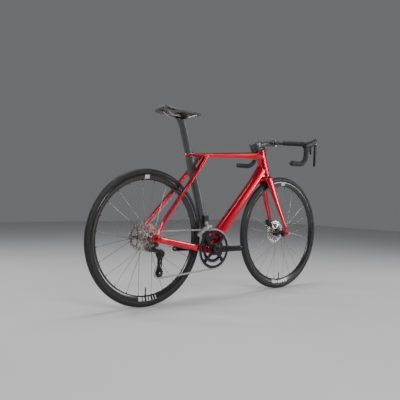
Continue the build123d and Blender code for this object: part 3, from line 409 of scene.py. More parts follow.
def merge_moulded(piece, voxel, smooth_steps):
    """One skin over crossing lofts, as a moulded carbon part has: voxel remesh, then smoothing."""
    remesh = piece.modifiers.new("Merge", "REMESH")
    remesh.mode = "VOXEL"
    remesh.voxel_size = voxel
    remesh.use_smooth_shade = True
    soften = piece.modifiers.new("Soften", "SMOOTH")
    soften.factor = 0.5
    soften.iterations = smooth_steps
    depsgraph = bpy.context.evaluated_depsgraph_get()
    finished = bpy.data.meshes.new_from_object(piece.evaluated_get(depsgraph))
    piece.modifiers.clear()
    old = piece.data
    piece.data = finished
    bpy.data.meshes.remove(old)
    piece.data.shade_smooth()
    return piece


# ------------------------------------------------------------------ finishes
def shade(colour, factor):
    """The colour times a factor, no brighter than one."""
    return tuple(min(1.0, value * factor) for value in colour)


class Finish:
    """A material with its shader and a few node helpers."""

    def __init__(self, name, colour, roughness, metallic=0.0):
        self.material = bpy.data.materials.new(name)
        self.material.use_nodes = True
        self.tree = self.material.node_tree
        self.shader = self.tree.nodes["Principled BSDF"]
        self.colour = tuple(colour)
        self.roughness = roughness
        self.shader.inputs["Base Color"].default_value = (*self.colour, 1.0)
        self.shader.inputs["Roughness"].default_value = roughness
        self.shader.inputs["Metallic"].default_value = metallic
        self.coordinates = self.tree.nodes.new("ShaderNodeTexCoord")

    def node(self, kind, **values):
        """A new node with its properties and inputs set."""
        made = self.tree.nodes.new(kind)
        for key, value in values.items():
            if key in made.inputs:
                made.inputs[key].default_value = value
            else:
                setattr(made, key, value)
        return made

    def link(self, start, end):
        """Joins an output socket to an input socket."""
        self.tree.links.new(start, end)

    def noise(self, scale, detail=3.0):
        """Soft noise over the object's own coordinates."""
        made = self.node("ShaderNodeTexNoise", Scale=scale, Detail=detail)
        self.link(self.coordinates.outputs["Object"], made.inputs["Vector"])
        return made.outputs["Fac"]

    def ramp(self, value, low, high, start=0.3, stop=0.7):
        """Straight ramp from low to high while the value goes from start to stop."""
        made = self.node("ShaderNodeMapRange")
        made.inputs["From Min"].default_value = start
        made.inputs["From Max"].default_value = stop
        made.inputs["To Min"].default_value = low
        made.inputs["To Max"].default_value = high
        self.link(value, made.inputs["Value"])
        return made.outputs["Result"]

    def mottle(self, scale, other, share=1.0):
        """Blends the base colour towards another one by a soft noise."""
        mix = self.node("ShaderNodeMix", data_type="RGBA")
        first_colour, second_colour, colour_result = mix.inputs[6], mix.inputs[7], mix.outputs[2]
        first_colour.default_value = (*self.colour, 1.0)
        second_colour.default_value = (*other, 1.0)
        self.link(self.ramp(self.noise(scale), 0.0, share), mix.inputs["Factor"])
        self.link(colour_result, self.shader.inputs["Base Color"])

    def stretched(self, source, scale):
        """Coordinates with each axis scaled by its own number."""
        mapping = self.node("ShaderNodeMapping")
        mapping.inputs["Scale"].default_value = scale
        self.link(self.coordinates.outputs[source], mapping.inputs["Vector"])
        return mapping.outputs["Vector"]

    def uneven(self, scale, spread):
        """Lets the roughness wander by a noise."""
        value = self.ramp(self.noise(scale), self.roughness - spread, self.roughness + spread)
        self.link(value, self.shader.inputs["Roughness"])

    def bump(self, height, distance, strength):
        """Raises the surface by a value times a distance in metres."""
        made = self.node("ShaderNodeBump", Strength=strength, Distance=distance)
        self.link(height, made.inputs["Height"])
        self.link(made.outputs["Normal"], self.shader.inputs["Normal"])

    def coat(self, weight, roughness):
        """Clear lacquer over the base."""
        self.shader.inputs["Coat Weight"].default_value = weight
        self.shader.inputs["Coat Roughness"].default_value = roughness


def candy_paint(name, colour):
    """Deep translucent red over fine metal flake, under a clear coat with a faint orange peel."""
    look = Finish(name, colour, 0.28, 0.8)
    look.mottle(900.0, shade(colour, 0.72), 0.5)
    look.uneven(1400.0, 0.06)
    look.bump(look.noise(160.0, 2.0), 0.00006, 0.35)
    look.coat(0.6, 0.03)
    return look.material


def satin_carbon(name, colour):
    """Satin grey lacquer over carbon, with a soft weave just readable in the sheen."""
    look = Finish(name, colour, 0.38, 0.25)
    checker = look.node("ShaderNodeTexChecker", Scale=500.0)
    look.link(look.coordinates.outputs["Object"], checker.inputs["Vector"])
    look.mottle(60.0, shade(colour, 1.35), 0.6)
    look.bump(checker.outputs["Fac"], 0.00003, 0.15)
    look.uneven(30.0, 0.05)
    look.coat(0.35, 0.22)
    return look.material


def tyre_rubber(name, colour):
    """Black rubber with a fine file pattern across the tread."""
    look = Finish(name, colour, 0.52)
    spread = look.stretched("UV", (900.0, 60.0, 1.0))
    wave = look.node("ShaderNodeTexWave", Scale=1.0, Distortion=0.4)
    wave.bands_direction = "DIAGONAL"
    look.link(spread, wave.inputs["Vector"])
    look.bump(wave.outputs["Fac"], 0.00015, 0.5)
    look.mottle(25.0, shade(colour, 1.9), 0.7)
    look.uneven(40.0, 0.07)
    return look.material


def rim_carbon(name, colour):
    """Smooth black carbon under a semi-gloss lacquer."""
    look = Finish(name, colour, 0.3, 0.1)
    look.mottle(35.0, shade(colour, 1.6), 0.6)
    look.bump(look.noise(420.0), 0.00003, 0.2)
    look.coat(0.6, 0.12)
    return look.material


def brushed_metal(name, colour, roughness=0.28, brush=(4.0, 900.0, 4.0)):
    """Bright metal with fine drawn lines."""
    look = Finish(name, colour, roughness, 1.0)
    lines = look.node("ShaderNodeTexNoise", Scale=6.0, Detail=4.0)
    look.link(look.stretched("Object", brush), lines.inputs["Vector"])
    look.link(look.ramp(lines.outputs["Fac"], roughness - 0.08, roughness + 0.12),
              look.shader.inputs["Roughness"])
    look.bump(lines.outputs["Fac"], 0.00002, 0.25)
    look.mottle(50.0, shade(colour, 0.75), 0.7)
    return look.material


def moulded_black(name, colour, roughness=0.42, metallic=0.0):
    """Moulded or anodised black with a fine blasted grain."""
    look = Finish(name, colour, roughness, metallic)
    look.mottle(45.0, shade(colour, 1.8), 0.6)
    look.bump(look.noise(1500.0, 2.0), 0.00004, 0.3)
    look.uneven(60.0, 0.06)
    return look.material


def grip_tape(name, colour):
    """Perforated cushioned tape: a staggered field of small round holes."""
    look = Finish(name, colour, 0.6)
    dots = look.node("ShaderNodeTexVoronoi", Scale=1.0, Randomness=0.0)
    look.link(look.stretched("UV", (22.0, 150.0, 1.0)), dots.inputs["Vector"])
    holes = look.ramp(dots.outputs["Distance"], 0.0, 1.0, 0.18, 0.32)
    look.bump(holes, 0.0004, 0.6)
    look.mottle(80.0, shade(colour, 1.7), 0.6)
    return look.material


def saddle_skin(name, colour):
    """Smooth synthetic cover with a fine pebble grain and a soft sheen."""
    look = Finish(name, colour, 0.42)
    grain = look.node("ShaderNodeTexVoronoi", Scale=900.0)
    look.link(look.coordinates.outputs["Object"], grain.inputs["Vector"])
    look.bump(grain.outputs["Distance"], 0.00008, 0.3)
    look.mottle(30.0, shade(colour, 1.8), 0.6)
    look.shader.inputs["Sheen Weight"].default_value = 0.25
    return look.material


def pale_mark(name, colour):
    """Printed pale grey block on the rim."""
    look = Finish(name, colour, 0.35)
    look.mottle(200.0, shade(colour, 0.85), 0.5)
    look.coat(0.4, 0.15)
    return look.material


LOOKS = {}


def make_looks():
    """All finishes, by the name used in this file."""
    c = colours()
    black = tuple(c.black)
    steel = tuple(c.steel)
    LOOKS.update(
        paint=candy_paint("candy_paint", tuple(c.paint)),
        carbon=satin_carbon("satin_carbon", tuple(c.carbon)),
        tyre=tyre_rubber("tyre_rubber", tuple(c.rubber)),
        rim=rim_carbon("rim_carbon", shade(black, 0.8)),
        mark=pale_mark("pale_mark", tuple(c.mark)),
        anodised=moulded_black("anodised_black", black, 0.34, 0.5),
        plastic=moulded_black("moulded_black", shade(black, 0.9), 0.48),
        crank=moulded_black("crank_grey", shade(black, 2.4), 0.3, 0.6),
        steel=brushed_metal("bright_steel", steel),
        cogs=brushed_metal("nickel_cogs", (steel[0], steel[1] * 0.96, steel[2] * 0.9), 0.26),
        spoke=brushed_metal("spoke_steel", shade(steel, 0.5), 0.3, (900.0, 900.0, 900.0)),
        alloy=brushed_metal("polished_alloy", shade(steel, 1.35), 0.2),
        tape=grip_tape("grip_tape", shade(black, 0.9)),
        hood=moulded_black("hood_rubber", shade(black, 0.9), 0.55),
        saddle=saddle_skin("saddle_skin", shade(black, 1.1)),
        pad=moulded_black("pad_compound", (0.09, 0.07, 0.055), 0.7),
    )


def refinish(look, *names):
    """Gives kept CAD nodes a finish."""
    for name in names:
        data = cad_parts[name].data
        data.materials.clear()
        data.materials.append(LOOKS[look])


# ------------------------------------------------------------------ frame and fork
def frame_lofts():
    """Every red tube of the frame as a closed grid, crossing its neighbours at the joints."""
    head = [(*steer_point(s, a), h, w, q) for s, a, h, w, q in (
        (368, 0.5, 34.0, 29.5, 2.2), (392, 0.5, 33.5, 26.0, 2.3), (430, 0.5, 32.5, 22.5, 2.5),
        (475, 0.5, 31.5, 21.5, 2.5), (510, 0.0, 31.5, 22.5, 2.4), (529, 0.0, 32.0, 24.5, 2.3))]
    lofts = [upright_grid(head, 40, 48, UP_HEAD, AHEAD_HEAD, (1.0, 0.8))]
    top = [(x, 0.0, z - d / 2, d / 2, w / 2, q) for x, z, d, w, q in (
        (-262, 771, 13, 36, 2.6), (-225, 774, 15, 46, 3.2), (-180, 778, 18, 45, 3.2),
        (-130, 782.5, 24, 41, 3.0), (-60, 789, 29, 36, 2.8), (60, 799, 31, 34, 2.8),
        (180, 809, 36, 36, 2.8), (255, 815.5, 44, 40, 2.8), (305, 819, 50, 44, 2.6))]
    lofts.append(upright_grid(top, 90, 40, FORWARD, UPWARD, (4.0, 1.0)))
    way = unit(np.array((322.0, 0.0, 718.0)) - BOTTOM_BRACKET)
    up = np.array((-way[2], 0.0, way[0]))
    down = [(*(BOTTOM_BRACKET + way * a + up * o), d / 2, w / 2, q) for a, o, d, w, q in (
        (8, -4, 64, 60, 2.6), (60, -4, 68, 56, 3.0), (150, 0, 63, 51, 3.4), (280, 0, 57, 48, 3.4),
        (410, 0, 54, 46, 3.4), (500, 0, 55, 46, 3.2), (560, 1, 62, 48, 2.8), (600, 4, 66, 48, 2.6))]
    lofts.append(upright_grid(down, 90, 48, way, up, (1.0, 1.0)))
    web = [(*steer_point(s, a), h, w, 2.4) for s, a, h, w in (
        (372, -34, 26, 24), (395, -36, 30, 22), (425, -30, 22, 20))]
    lofts.append(upright_grid(web, 16, 32, UP_HEAD, AHEAD_HEAD, (3.0, 3.0)))
    lofts.append(cross_rod(BOTTOM_BRACKET, 43, 27.0, 48))
    for side in (-1, 1):
        chainstay = [(x, side * y, z, d / 2, w / 2, q) for x, y, z, d, w, q in (
            (-88, 26, 263, 42, 18, 2.6), (-130, 28, 268, 40, 17, 2.8),
            (-170, 28.6, 275.5, 37, 15, 3.0), (-205, 36, 282.5, 35, 15, 3.0),
            (-240, 43, 289.5, 34, 15, 3.0), (-330, 54, 308, 30, 14, 3.0),
            (-420, 65, 326.5, 27, 12.5, 3.0), (-458, 73.5, 334.5, 27, 8.5, 3.0),
            (-485, 74.7, 339, 30, 7.4, 3.0))]
        lofts.append(upright_grid(chainstay, 70, 32, FORWARD, UPWARD, (1.0, 2.0)))
        seatstay = [(x, side * y, z, d / 2, w / 2, q) for x, y, z, d, w, q in (
            (-488, 74.7, 341, 24, 7.4, 3.0), (-476, 74.0, 366, 24, 8.0, 3.0),
            (-456, 68.0, 398, 25, 11.0, 2.8), (-430, 63.0, 435, 26, 13.0, 2.8),
            (-355, 53.5, 519, 28, 13.5, 2.8), (-278, 45.0, 605, 30, 14.0, 2.8),
            (-205, 34.0, 689, 33, 15.0, 2.8), (-155, 25.5, 746, 35, 16.0, 2.8),
            (-132, 21.5, 770, 34, 16.0, 2.6))]
        lofts.append(bar_grid(seatstay, 80, 28, LEFT, (1.0, 2.0)))
        dropout = [(REAR_AXLE[0], side * y, REAR_AXLE[2]) for y in (71.0, 78.4)]
        lofts.append(rod_grid(*dropout, 19, 40))
    return lofts


def carve(piece, *grids):
    """Cuts closed grids out of a piece with exact booleans."""
    cutters = [Shape().add(grid).make("cutter", []) for grid in grids]
    for cutter in cutters:
        modifier = piece.modifiers.new("Cut", "BOOLEAN")
        modifier.operation = "DIFFERENCE"
        modifier.object = cutter
        modifier.solver = "EXACT"
    depsgraph = bpy.context.evaluated_depsgraph_get()
    finished = bpy.data.meshes.new_from_object(piece.evaluated_get(depsgraph))
    piece.modifiers.clear()
    piece.data = finished
    piece.data.shade_smooth()
    piece.data.set_sharp_from_angle(angle=math.radians(42))
    for cutter in cutters:
        bpy.data.objects.remove(cutter)


class OBJECT_OT_bicycle_frame(bpy.types.Operator):
    """Moulded red frame and its grey seat tube"""

    bl_idname = "object.bicycle_frame"
    bl_label = "Frame"

    def execute(self, context):
        shape = Shape()
        for grid in frame_lofts():
            shape.add(grid)
        shell = merge_moulded(shape.make("frame_shell", [LOOKS["paint"]]), sizes().shell_voxel, 6)
        post_room = rod_like_post(470, 545, 18.6, 14.1)
        steerer_room = rod_grid(steer_point(350), steer_point(545), 21.0, 40)
        carve(shell, cross_rod(BOTTOM_BRACKET, 60, 21.2, 48), cross_rod(REAR_AXLE, 90, 6.2), post_room,
              steerer_room)
        place(shell, "frame", "red_frame", "head_tube", "top_tube", "down_tube", "bottom_bracket_shell",
              "chainstays", "seatstays")
        self.seat_mast()
        return {"FINISHED"}

    def seat_mast(self):
        """Grey aero seat tube, with the filled corner under the top tube."""
        mast = [(*seat_point(s, a), d / 2, w / 2, q) for s, a, d, w, q in (
            (26, 0, 46, 40, 2.8), (60, 0, 43, 35, 3.0), (200, 0, 43, 33.5, 3.2), (380, 0, 43, 33.5, 3.2),
            (440, 0, 43, 33.5, 3.2), (502, 0, 43, 33.5, 3.2))]
        shape = Shape().add(upright_grid(mast, 60, 40, UP_SEAT, AHEAD_SEAT, (1.0, 0.5)))
        corner = [(x, 0.0, (low + 765) / 2, (765 - low) / 2, 11.6, 5.0) for x, low in (
            (-232, 690), (-210, 700), (-200, 712), (-190, 732), (-176, 749), (-160, 757))]
        shape.add(upright_grid(corner, 30, 32, FORWARD, UPWARD, (0.5, 0.5)))
        mast_piece = merge_moulded(shape.make("seat_mast", [LOOKS["carbon"]]), MAST_VOXEL, 5)
        carve(mast_piece, rod_like_post(60, 545, 18.5, 14.0))
        place(mast_piece, "frame", "grey_carbon", "seat_tube")


def rod_like_post(low, high, half_deep, half_wide):
    """Straight aero bar along the seat tube's axis, with flattened sides."""
    rows = [(*seat_point(s), half_deep, half_wide, 2.8) for s in np.linspace(low, high, 6)]
    return upright_grid(rows, 24, 40, UP_SEAT, AHEAD_SEAT, (0.3, 0.3))


class OBJECT_OT_bicycle_fork(bpy.types.Operator):
    """Bladed carbon fork, painted like the frame"""

    bl_idname = "object.bicycle_fork"
    bl_label = "Fork"

    def execute(self, context):
        shape = Shape()
        crown = [(*steer_point(s, a), h, w, q) for s, a, h, w, q in (
            (365, 1, 33.5, 29.5, 2.2), (358, 1, 33, 33, 2.3), (350, 1, 31, 38, 2.6), (344, 2, 27, 40, 3.0))]
        shape.add(upright_grid(crown, 16, 48, UP_HEAD, AHEAD_HEAD, (0.3, 1.5)))
        for side in (-1, 1):
            leg = [(*steer_point(s, a, side * y), d / 2, w / 2, q) for s, a, y, d, w, q in (
                (356, 1, 27, 58, 20, 2.4), (320, 6, 31.5, 52, 20, 2.4), (260, 12, 37, 43, 17, 2.4),
                (180, 20, 45, 34, 14.5, 2.4), (100, 32, 52, 28, 12.5, 2.4),
                (40, 40, 55.5, 25, 11.6, 2.6), (4, FORK_RAKE, 56, 26, 11.4, 2.8))]
            shape.add(upright_grid(leg, 60, 36, UP_HEAD, AHEAD_HEAD, (2.0, 6.0)))
            shape.add(cross_rod(FRONT_AXLE + (0, side * 56.0, 0), 5.8, 13.6))
        fork = merge_moulded(shape.make("fork_blades", [LOOKS["paint"]]), sizes().shell_voxel, 5)
        wheel_room = cross_rod(FRONT_AXLE, 18, 344.5, 160)
        carve(fork, wheel_room, cross_rod(FRONT_AXLE, 70, 6.2))
        build("steerer_tube", "carbon", "front_end", "black_metal", (),
              rod_grid(steer_point(352), steer_point(386), 19.4, 40),
              rod_grid(steer_point(380), steer_point(569), 14.3, 40))
        place(fork, "front_end", "red_frame", "fork")
        return {"FINISHED"}


# ------------------------------------------------------------------ wheels
def tyre_profile():
    """Closed round-shouldered section of (radius, y)."""
    right = [(339.0, 0.0), (338.2, 4.2), (334.6, 9.0), (329.0, 12.6), (322.5, 13.9), (316.5, 12.6),
             (312.6, 10.6)]
    left = [(r, -y) for r, y in right[1:][::-1]]
    return smooth_loop(right + [(311.0, 6.0), (311.0, -6.0)] + left, 44)


def rim_profile():
    """Deep aero section: rounded nose towards the hub, bulged sides and square bead edges."""
    right = [(283.0, 1.2), (284.4, 3.6), (289.5, 6.9), (296.0, 9.9), (303.0, 12.2), (308.5, 12.9),
             (312.2, 12.4), (313.2, 11.3), (312.6, 10.2), (309.0, 9.9)]
    left = [(r, -y) for r, y in right[::-1]]
    return np.array(right + left)


def wheel(name, body, centre, flanges, hub_half, spoke_offset):
    """Tyre, rim with its plain marks, bladed spokes with nipples, hub, valve.

    The flanges are the Y of the hub's two spoke rows; the spokes start at the offset from its axis.
    """
    tyre = Shape().add(spun_grid(tyre_profile(), centre, 240), closed_rows=True)
    place(tyre.make(f"{name}_tyre_casing", [LOOKS["tyre"]]), body, "tyre_rubber", f"{name}_tyre")

    around = 360
    profile = rim_profile()
    rim = Shape().add(spun_grid(profile, centre, around), closed_rows=True)
    column = np.tile(np.arange(around), len(profile))
    row = np.repeat(np.arange(len(profile)), around)
    angle = (column + 0.5) * 360 / around
    on_side = ((row >= 2) & (row <= 4)) | ((row >= 14) & (row <= 16))
    slots = np.zeros(len(column), int)
    for middle, half in RIM_MARKS[name]:
        slots[on_side & (np.abs(angle - middle) < half)] = 1
    rim.slots = slots.tolist()
    rim_piece = rim.make(f"{name}_rim_shell", [LOOKS["rim"], LOOKS["mark"]], 60.0)
    place(rim_piece, body, "rim_carbon", f"{name}_rim")
    rows = [(centre[0], 0.0, centre[2] - RIM_BED_RADIUS + h, r, r, 2.0) for h, r in (
        (0.0, 3.0), (29.0, 3.0), (31.0, 4.4), (34.0, 4.4), (35.0, 3.0), (60.0, 3.0), (66.0, 2.0),
        (71.0, 1.6))]
    build(f"{name}_valve", "anodised", body, "black_metal", (),
          upright_grid(rows, 50, 14, UPWARD, FORWARD, (0.2, 0.6)))

    spokes, nipples = Shape(), Shape()
    blade = sizes().spoke_blade / MM / 2
    for side, flange in ((-1, flanges[0]), (1, flanges[1])):
        for i in range(12):
            sense = 1 if i % 2 else -1
            rim_angle = math.radians(i * 30 + 7 + (15 if side > 0 else 0))
            hub_angle = rim_angle + sense * math.radians(62)
            shift = sense * 2.2
            start = centre + np.array((spoke_offset * math.cos(hub_angle), flange + shift,
                                       spoke_offset * math.sin(hub_angle)))
            end = centre + np.array((SPOKE_END_RADIUS * math.cos(rim_angle), side * 1.6 + shift * 0.2,
                                     SPOKE_END_RADIUS * math.sin(rim_angle)))
            t = np.array((0.0, 0.08, 0.14, 0.5, 0.86, 0.92, 1.0))[:, None]
            path = start + (end - start) * t
            wide = np.array((0.95, 0.95, blade, blade, blade, 0.95, 0.95))[:, None]
            thin = np.array((0.95, 0.95, 0.5, 0.5, 0.5, 0.95, 0.95))[:, None]
            rows = np.hstack((path, wide, thin, np.full((7, 1), 2.0)))
            spokes.add(flat_grid(rows, 16, 8, (0.2, 0.2), 1))
            way = unit(start - end)
            nipples.add(rod_grid(end + way * 0.5, end + way * 9.0, 1.9, 8, 0.4))
    place(spokes.make(f"{name}_spoke_set", [LOOKS["spoke"]]), body, "spoke_steel", f"{name}_spokes")
    place(nipples.make(f"{name}_nipples", [LOOKS["anodised"]]), body, "black_metal")

    hub = Shape()
    low, high = flanges
    r = spoke_offset + 3.2
    outline = [(6.1, -hub_half), (9.5, -hub_half), (9.5, low - 9), (13.0, low - 5.5),
               (r - 1.2, low - 3.4), (r, low - 2.6), (r, low + 2.6), (r - 1.2, low + 3.4),
               (14.5, low + 7.5), (11.6, low + 14), (11.0, (low + high) / 2), (11.6, high - 14),
               (14.5, high - 7.5), (r - 1.2, high - 3.4), (r, high - 2.6), (r, high + 2.6),
               (r - 1.2, high + 3.4), (13.0, high + 5.5), (9.5, high + 9), (9.5, hub_half),
               (6.1, hub_half)]
    hub.add(spun_grid(outline, centre, 64), closed_rows=True)
    place(hub.make(f"{name}_hub_shell", [LOOKS["anodised"]], 28.0), body, "black_metal", f"{name}_hub")


class OBJECT_OT_bicycle_wheels(bpy.types.Operator):
    """Both wheels with tyres, rims, spokes, hubs and valves"""

    bl_idname = "object.bicycle_wheels"
    bl_label = "Wheels"

    def execute(self, context):
        wheel("front", "front_wheel", FRONT_AXLE, FRONT_FLANGES, 49.9, 20.0)
        wheel("rear", "rear_wheel", REAR_AXLE, REAR_FLANGES, 70.9, 22.0)
        self.rotor("front", "front_wheel", FRONT_AXLE, FRONT_ROTOR_SIDE)
        self.rotor("rear", "rear_wheel", REAR_AXLE, REAR_ROTOR_SIDE)
        return {"FINISHED"}

    def rotor(self, name, body, centre, y):
        """Disc with drilled braking band, wide windows between six arms, and its lockring."""
        middle = (centre[0], centre[2])
        loops = [circle_loop(middle, ROTOR_RADIUS, 180, 0.4, 12)]
        for i in range(6):
            loops.append(arc_window(middle, 27.0, 53.5, 60 * i + 8, 60 * i + 52))
        for i in range(24):
            angle = math.radians(15 * i)
            reach = 60.0 + 3.4 * (i % 2)
            hole = (middle[0] + reach * math.cos(angle), middle[1] + reach * math.sin(angle))
            loops.append(circle_loop(hole, 2.5, 10))
        loops.append(circle_loop(middle, 14.0, 32))
        disc = plate(f"{name}_disc", loops, y - 0.85, y + 0.85, LOOKS["steel"], 0.1)
        place(disc, body, "spoke_steel", f"{name}_rotor")
        profile = [(14.0, y - 1.6), (21.0, y - 1.6), (22.0, y - 0.8), (22.0, y + 0.8), (21.0, y + 1.6),
                   (14.0, y + 1.6)]
        ring = Shape().add(spun_grid(profile, centre, 48), closed_rows=True)
        place(ring.make(f"{name}_lockring", [LOOKS["anodised"]], 25.0), body, "black_metal")


# ------------------------------------------------------------------ seat
def saddle_grid():
    """Saddle skin over (along, round): a crowned top with a centre channel and two rear lobes.

    At each place along the length the section is a superellipse, its top lowered by
    the crown times the square of the place across, and by a Gaussian channel.
    """
    low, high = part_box("saddle")
    rear, front = low.x / MM, high.x / MM
    top = high.z / MM
    rows = smooth_rows([
        (0.00, 0.50, 13.0, 0.0), (0.03, 0.86, 14.5, 0.0), (0.10, 0.985, 15.0, 0.5),
        (0.20, 0.97, 15.0, 1.0), (0.32, 0.80, 14.5, 1.5), (0.45, 0.55, 13.5, 2.0),
        (0.60, 0.37, 12.5, 2.5), (0.75, 0.29, 11.5, 3.0), (0.88, 0.25, 10.5, 4.5),
        (0.96, 0.20, 9.5, 7.0), (1.00, 0.12, 7.0, 10.0)], 120)
    angle = np.linspace(0, 2 * np.pi, 96, endpoint=False)
    c, s = np.cos(angle)[None], np.sin(angle)[None]
    t, wide, thick, drop = (rows[:, i][:, None] for i in range(4))
    half = (high.y - low.y) / 2 / MM
    y = half * wide * signed_power(c, 0.8)
    upward = signed_power(s, 0.75)
    z = top - 1.0 - drop - thick + thick * upward * np.where(s > 0, 1.0, 0.72)
    across = y / half
    crown = sizes().saddle_crown / MM
    z = z - crown * np.abs(across) ** 2.2 * np.where(s > 0, 1.0, 1.25)
    channel_length = np.clip(np.sin(np.pi * np.clip((t - 0.02) / 0.86, 0, 1)), 0, 1) ** 0.6
    channel = 7.0 * np.exp(-(y / 9.0) ** 2) * channel_length
    z = z - np.where(s > 0, channel * s, 0.0)
    lobes = 26.0 * np.exp(-(y / 13.0) ** 2) * np.clip(1 - t / 0.22, 0, 1) ** 1.5
    x = rear + (front - rear) * t + lobes
    rear_lift = 4.0 * np.clip(1 - t / 0.25, 0, 1) ** 2
    return np.stack((x, y, np.minimum(z + rear_lift - 3.0, top)), -1)


class OBJECT_OT_bicycle_seat(bpy.types.Operator):
    """Seatpost, rail clamp, rails and saddle"""

    bl_idname = "object.bicycle_seat"
    bl_label = "Seat"

    def execute(self, context):
        rows = [(*seat_point(s, a), d / 2, w / 2, q) for s, a, d, w, q in (
            (382, 0, 35.6, 26.6, 3.4), (480, 0, 35.6, 26.6, 3.6), (600, 0, 35.6, 26.6, 3.8),
            (650, 0, 36, 26.6, 3.8), (676, -1, 38.5, 27, 3.2), (694, -3, 44, 28, 2.8),
            (706, -4, 47, 28, 2.6), (714, -5, 44, 26, 2.4))]
        build("aero_seatpost", "carbon", "seatpost", "grey_carbon", ("seatpost",),
              upright_grid(rows, 70, 64, UP_SEAT, AHEAD_SEAT, (0.5, 4.0)),
              cross_rod(seat_point(714), 13, 14.5, 40))
        piece = build("saddle_pad", "saddle", "saddle", "saddle_cover", ("saddle",), saddle_grid(),
                      sharp=60.0)
        self.base()
        refinish("anodised", "saddle_clamp")
        refinish("steel", "saddle_rails")
        return {"FINISHED"}

    def base(self):
        """Moulded base under the pad, which holds the rails."""
        low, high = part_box("saddle")
        rear, front = low.x / MM, high.x / MM
        z = high.z / MM - 27.0
        rows = [(rear + (front - rear) * t, 0.0, z + lift, 3.2, w, 3.0) for t, w, lift in (
            (0.07, 44, 2), (0.16, 58, 1), (0.28, 50, 0), (0.45, 30, 0), (0.65, 20, 1), (0.88, 13, 3),
            (0.95, 9, 4))]
        build("saddle_base", "plastic", "saddle", "saddle_cover", (),
              upright_grid(rows, 60, 32, FORWARD, UPWARD, (2.0, 2.0)))


# ------------------------------------------------------------------ cockpit
def rounded_path(points, radii, step):
    """Straight runs joined by tangent arcs, read at about equal steps."""
    points = [np.asarray(p, float) for p in points]
    pieces = []
    last = points[0]
    for before, corner, after, radius in zip(points, points[1:], points[2:], radii):
        into, out = unit(corner - before), unit(after - corner)
        turn = math.acos(float(np.clip(into @ out, -1, 1)))
        trim = radius * math.tan(turn / 2)
        start, end = corner - into * trim, corner + out * trim
        middle = corner + unit(out - into) * radius / math.cos(turn / 2)
        steps = max(2, int(np.linalg.norm(start - last) / step))
        pieces.append(np.linspace(last, start, steps, endpoint=False))
        angles = np.linspace(0, turn, max(3, int(radius * turn / step)), endpoint=False)[:, None]
        arm = unit(start - middle)
        pieces.append(middle + radius * (arm * np.cos(angles) + into * np.sin(angles)))
        last = end
    pieces.append(np.linspace(last, points[-1], max(2, int(np.linalg.norm(points[-1] - last) / step))))
    return np.concatenate(pieces)


def bar_points(side):
    """Corners of half of the drop bar and their radii."""
    points = [(395.0, 0.0, 880.0), (403.0, side * 60, 878.0), (437.0, side * 185, 868.0),
              (476.0, side * 198, 868.0), (470.0, side * 205, 749.0), (330.0, side * 214, 749.0)]
    return points, [60, 24, 26, 68]


def carried_frame(path):
    """Side and up vectors along a path, turned as little as possible from ring to ring."""
    way = unit(np.gradient(path, axis=0))
    up = np.zeros_like(way)
    up[0] = unit(np.cross(np.cross(way[0], (0.0, 0.0, 1.0)), way[0]))
    for i in range(1, len(way)):
        up[i] = unit(up[i - 1] - way[i] * (up[i - 1] @ way[i]))
    return up, np.cross(way, up)


def pipe_grid(path, radius, around, ends=(1.0, 1.0)):
    """Round pipe along a path; radius is one number or a grid of (ring, column)."""
    up, side = carried_frame(path)
    angle = np.linspace(0, 2 * np.pi, around, endpoint=False)
    radius = np.broadcast_to(radius, (len(path), around))[..., None]
    ring = up[:, None] * np.sin(angle)[None, :, None] + side[:, None] * np.cos(angle)[None, :, None]
    return rounded_ends(path[:, None] + ring * radius, ends)


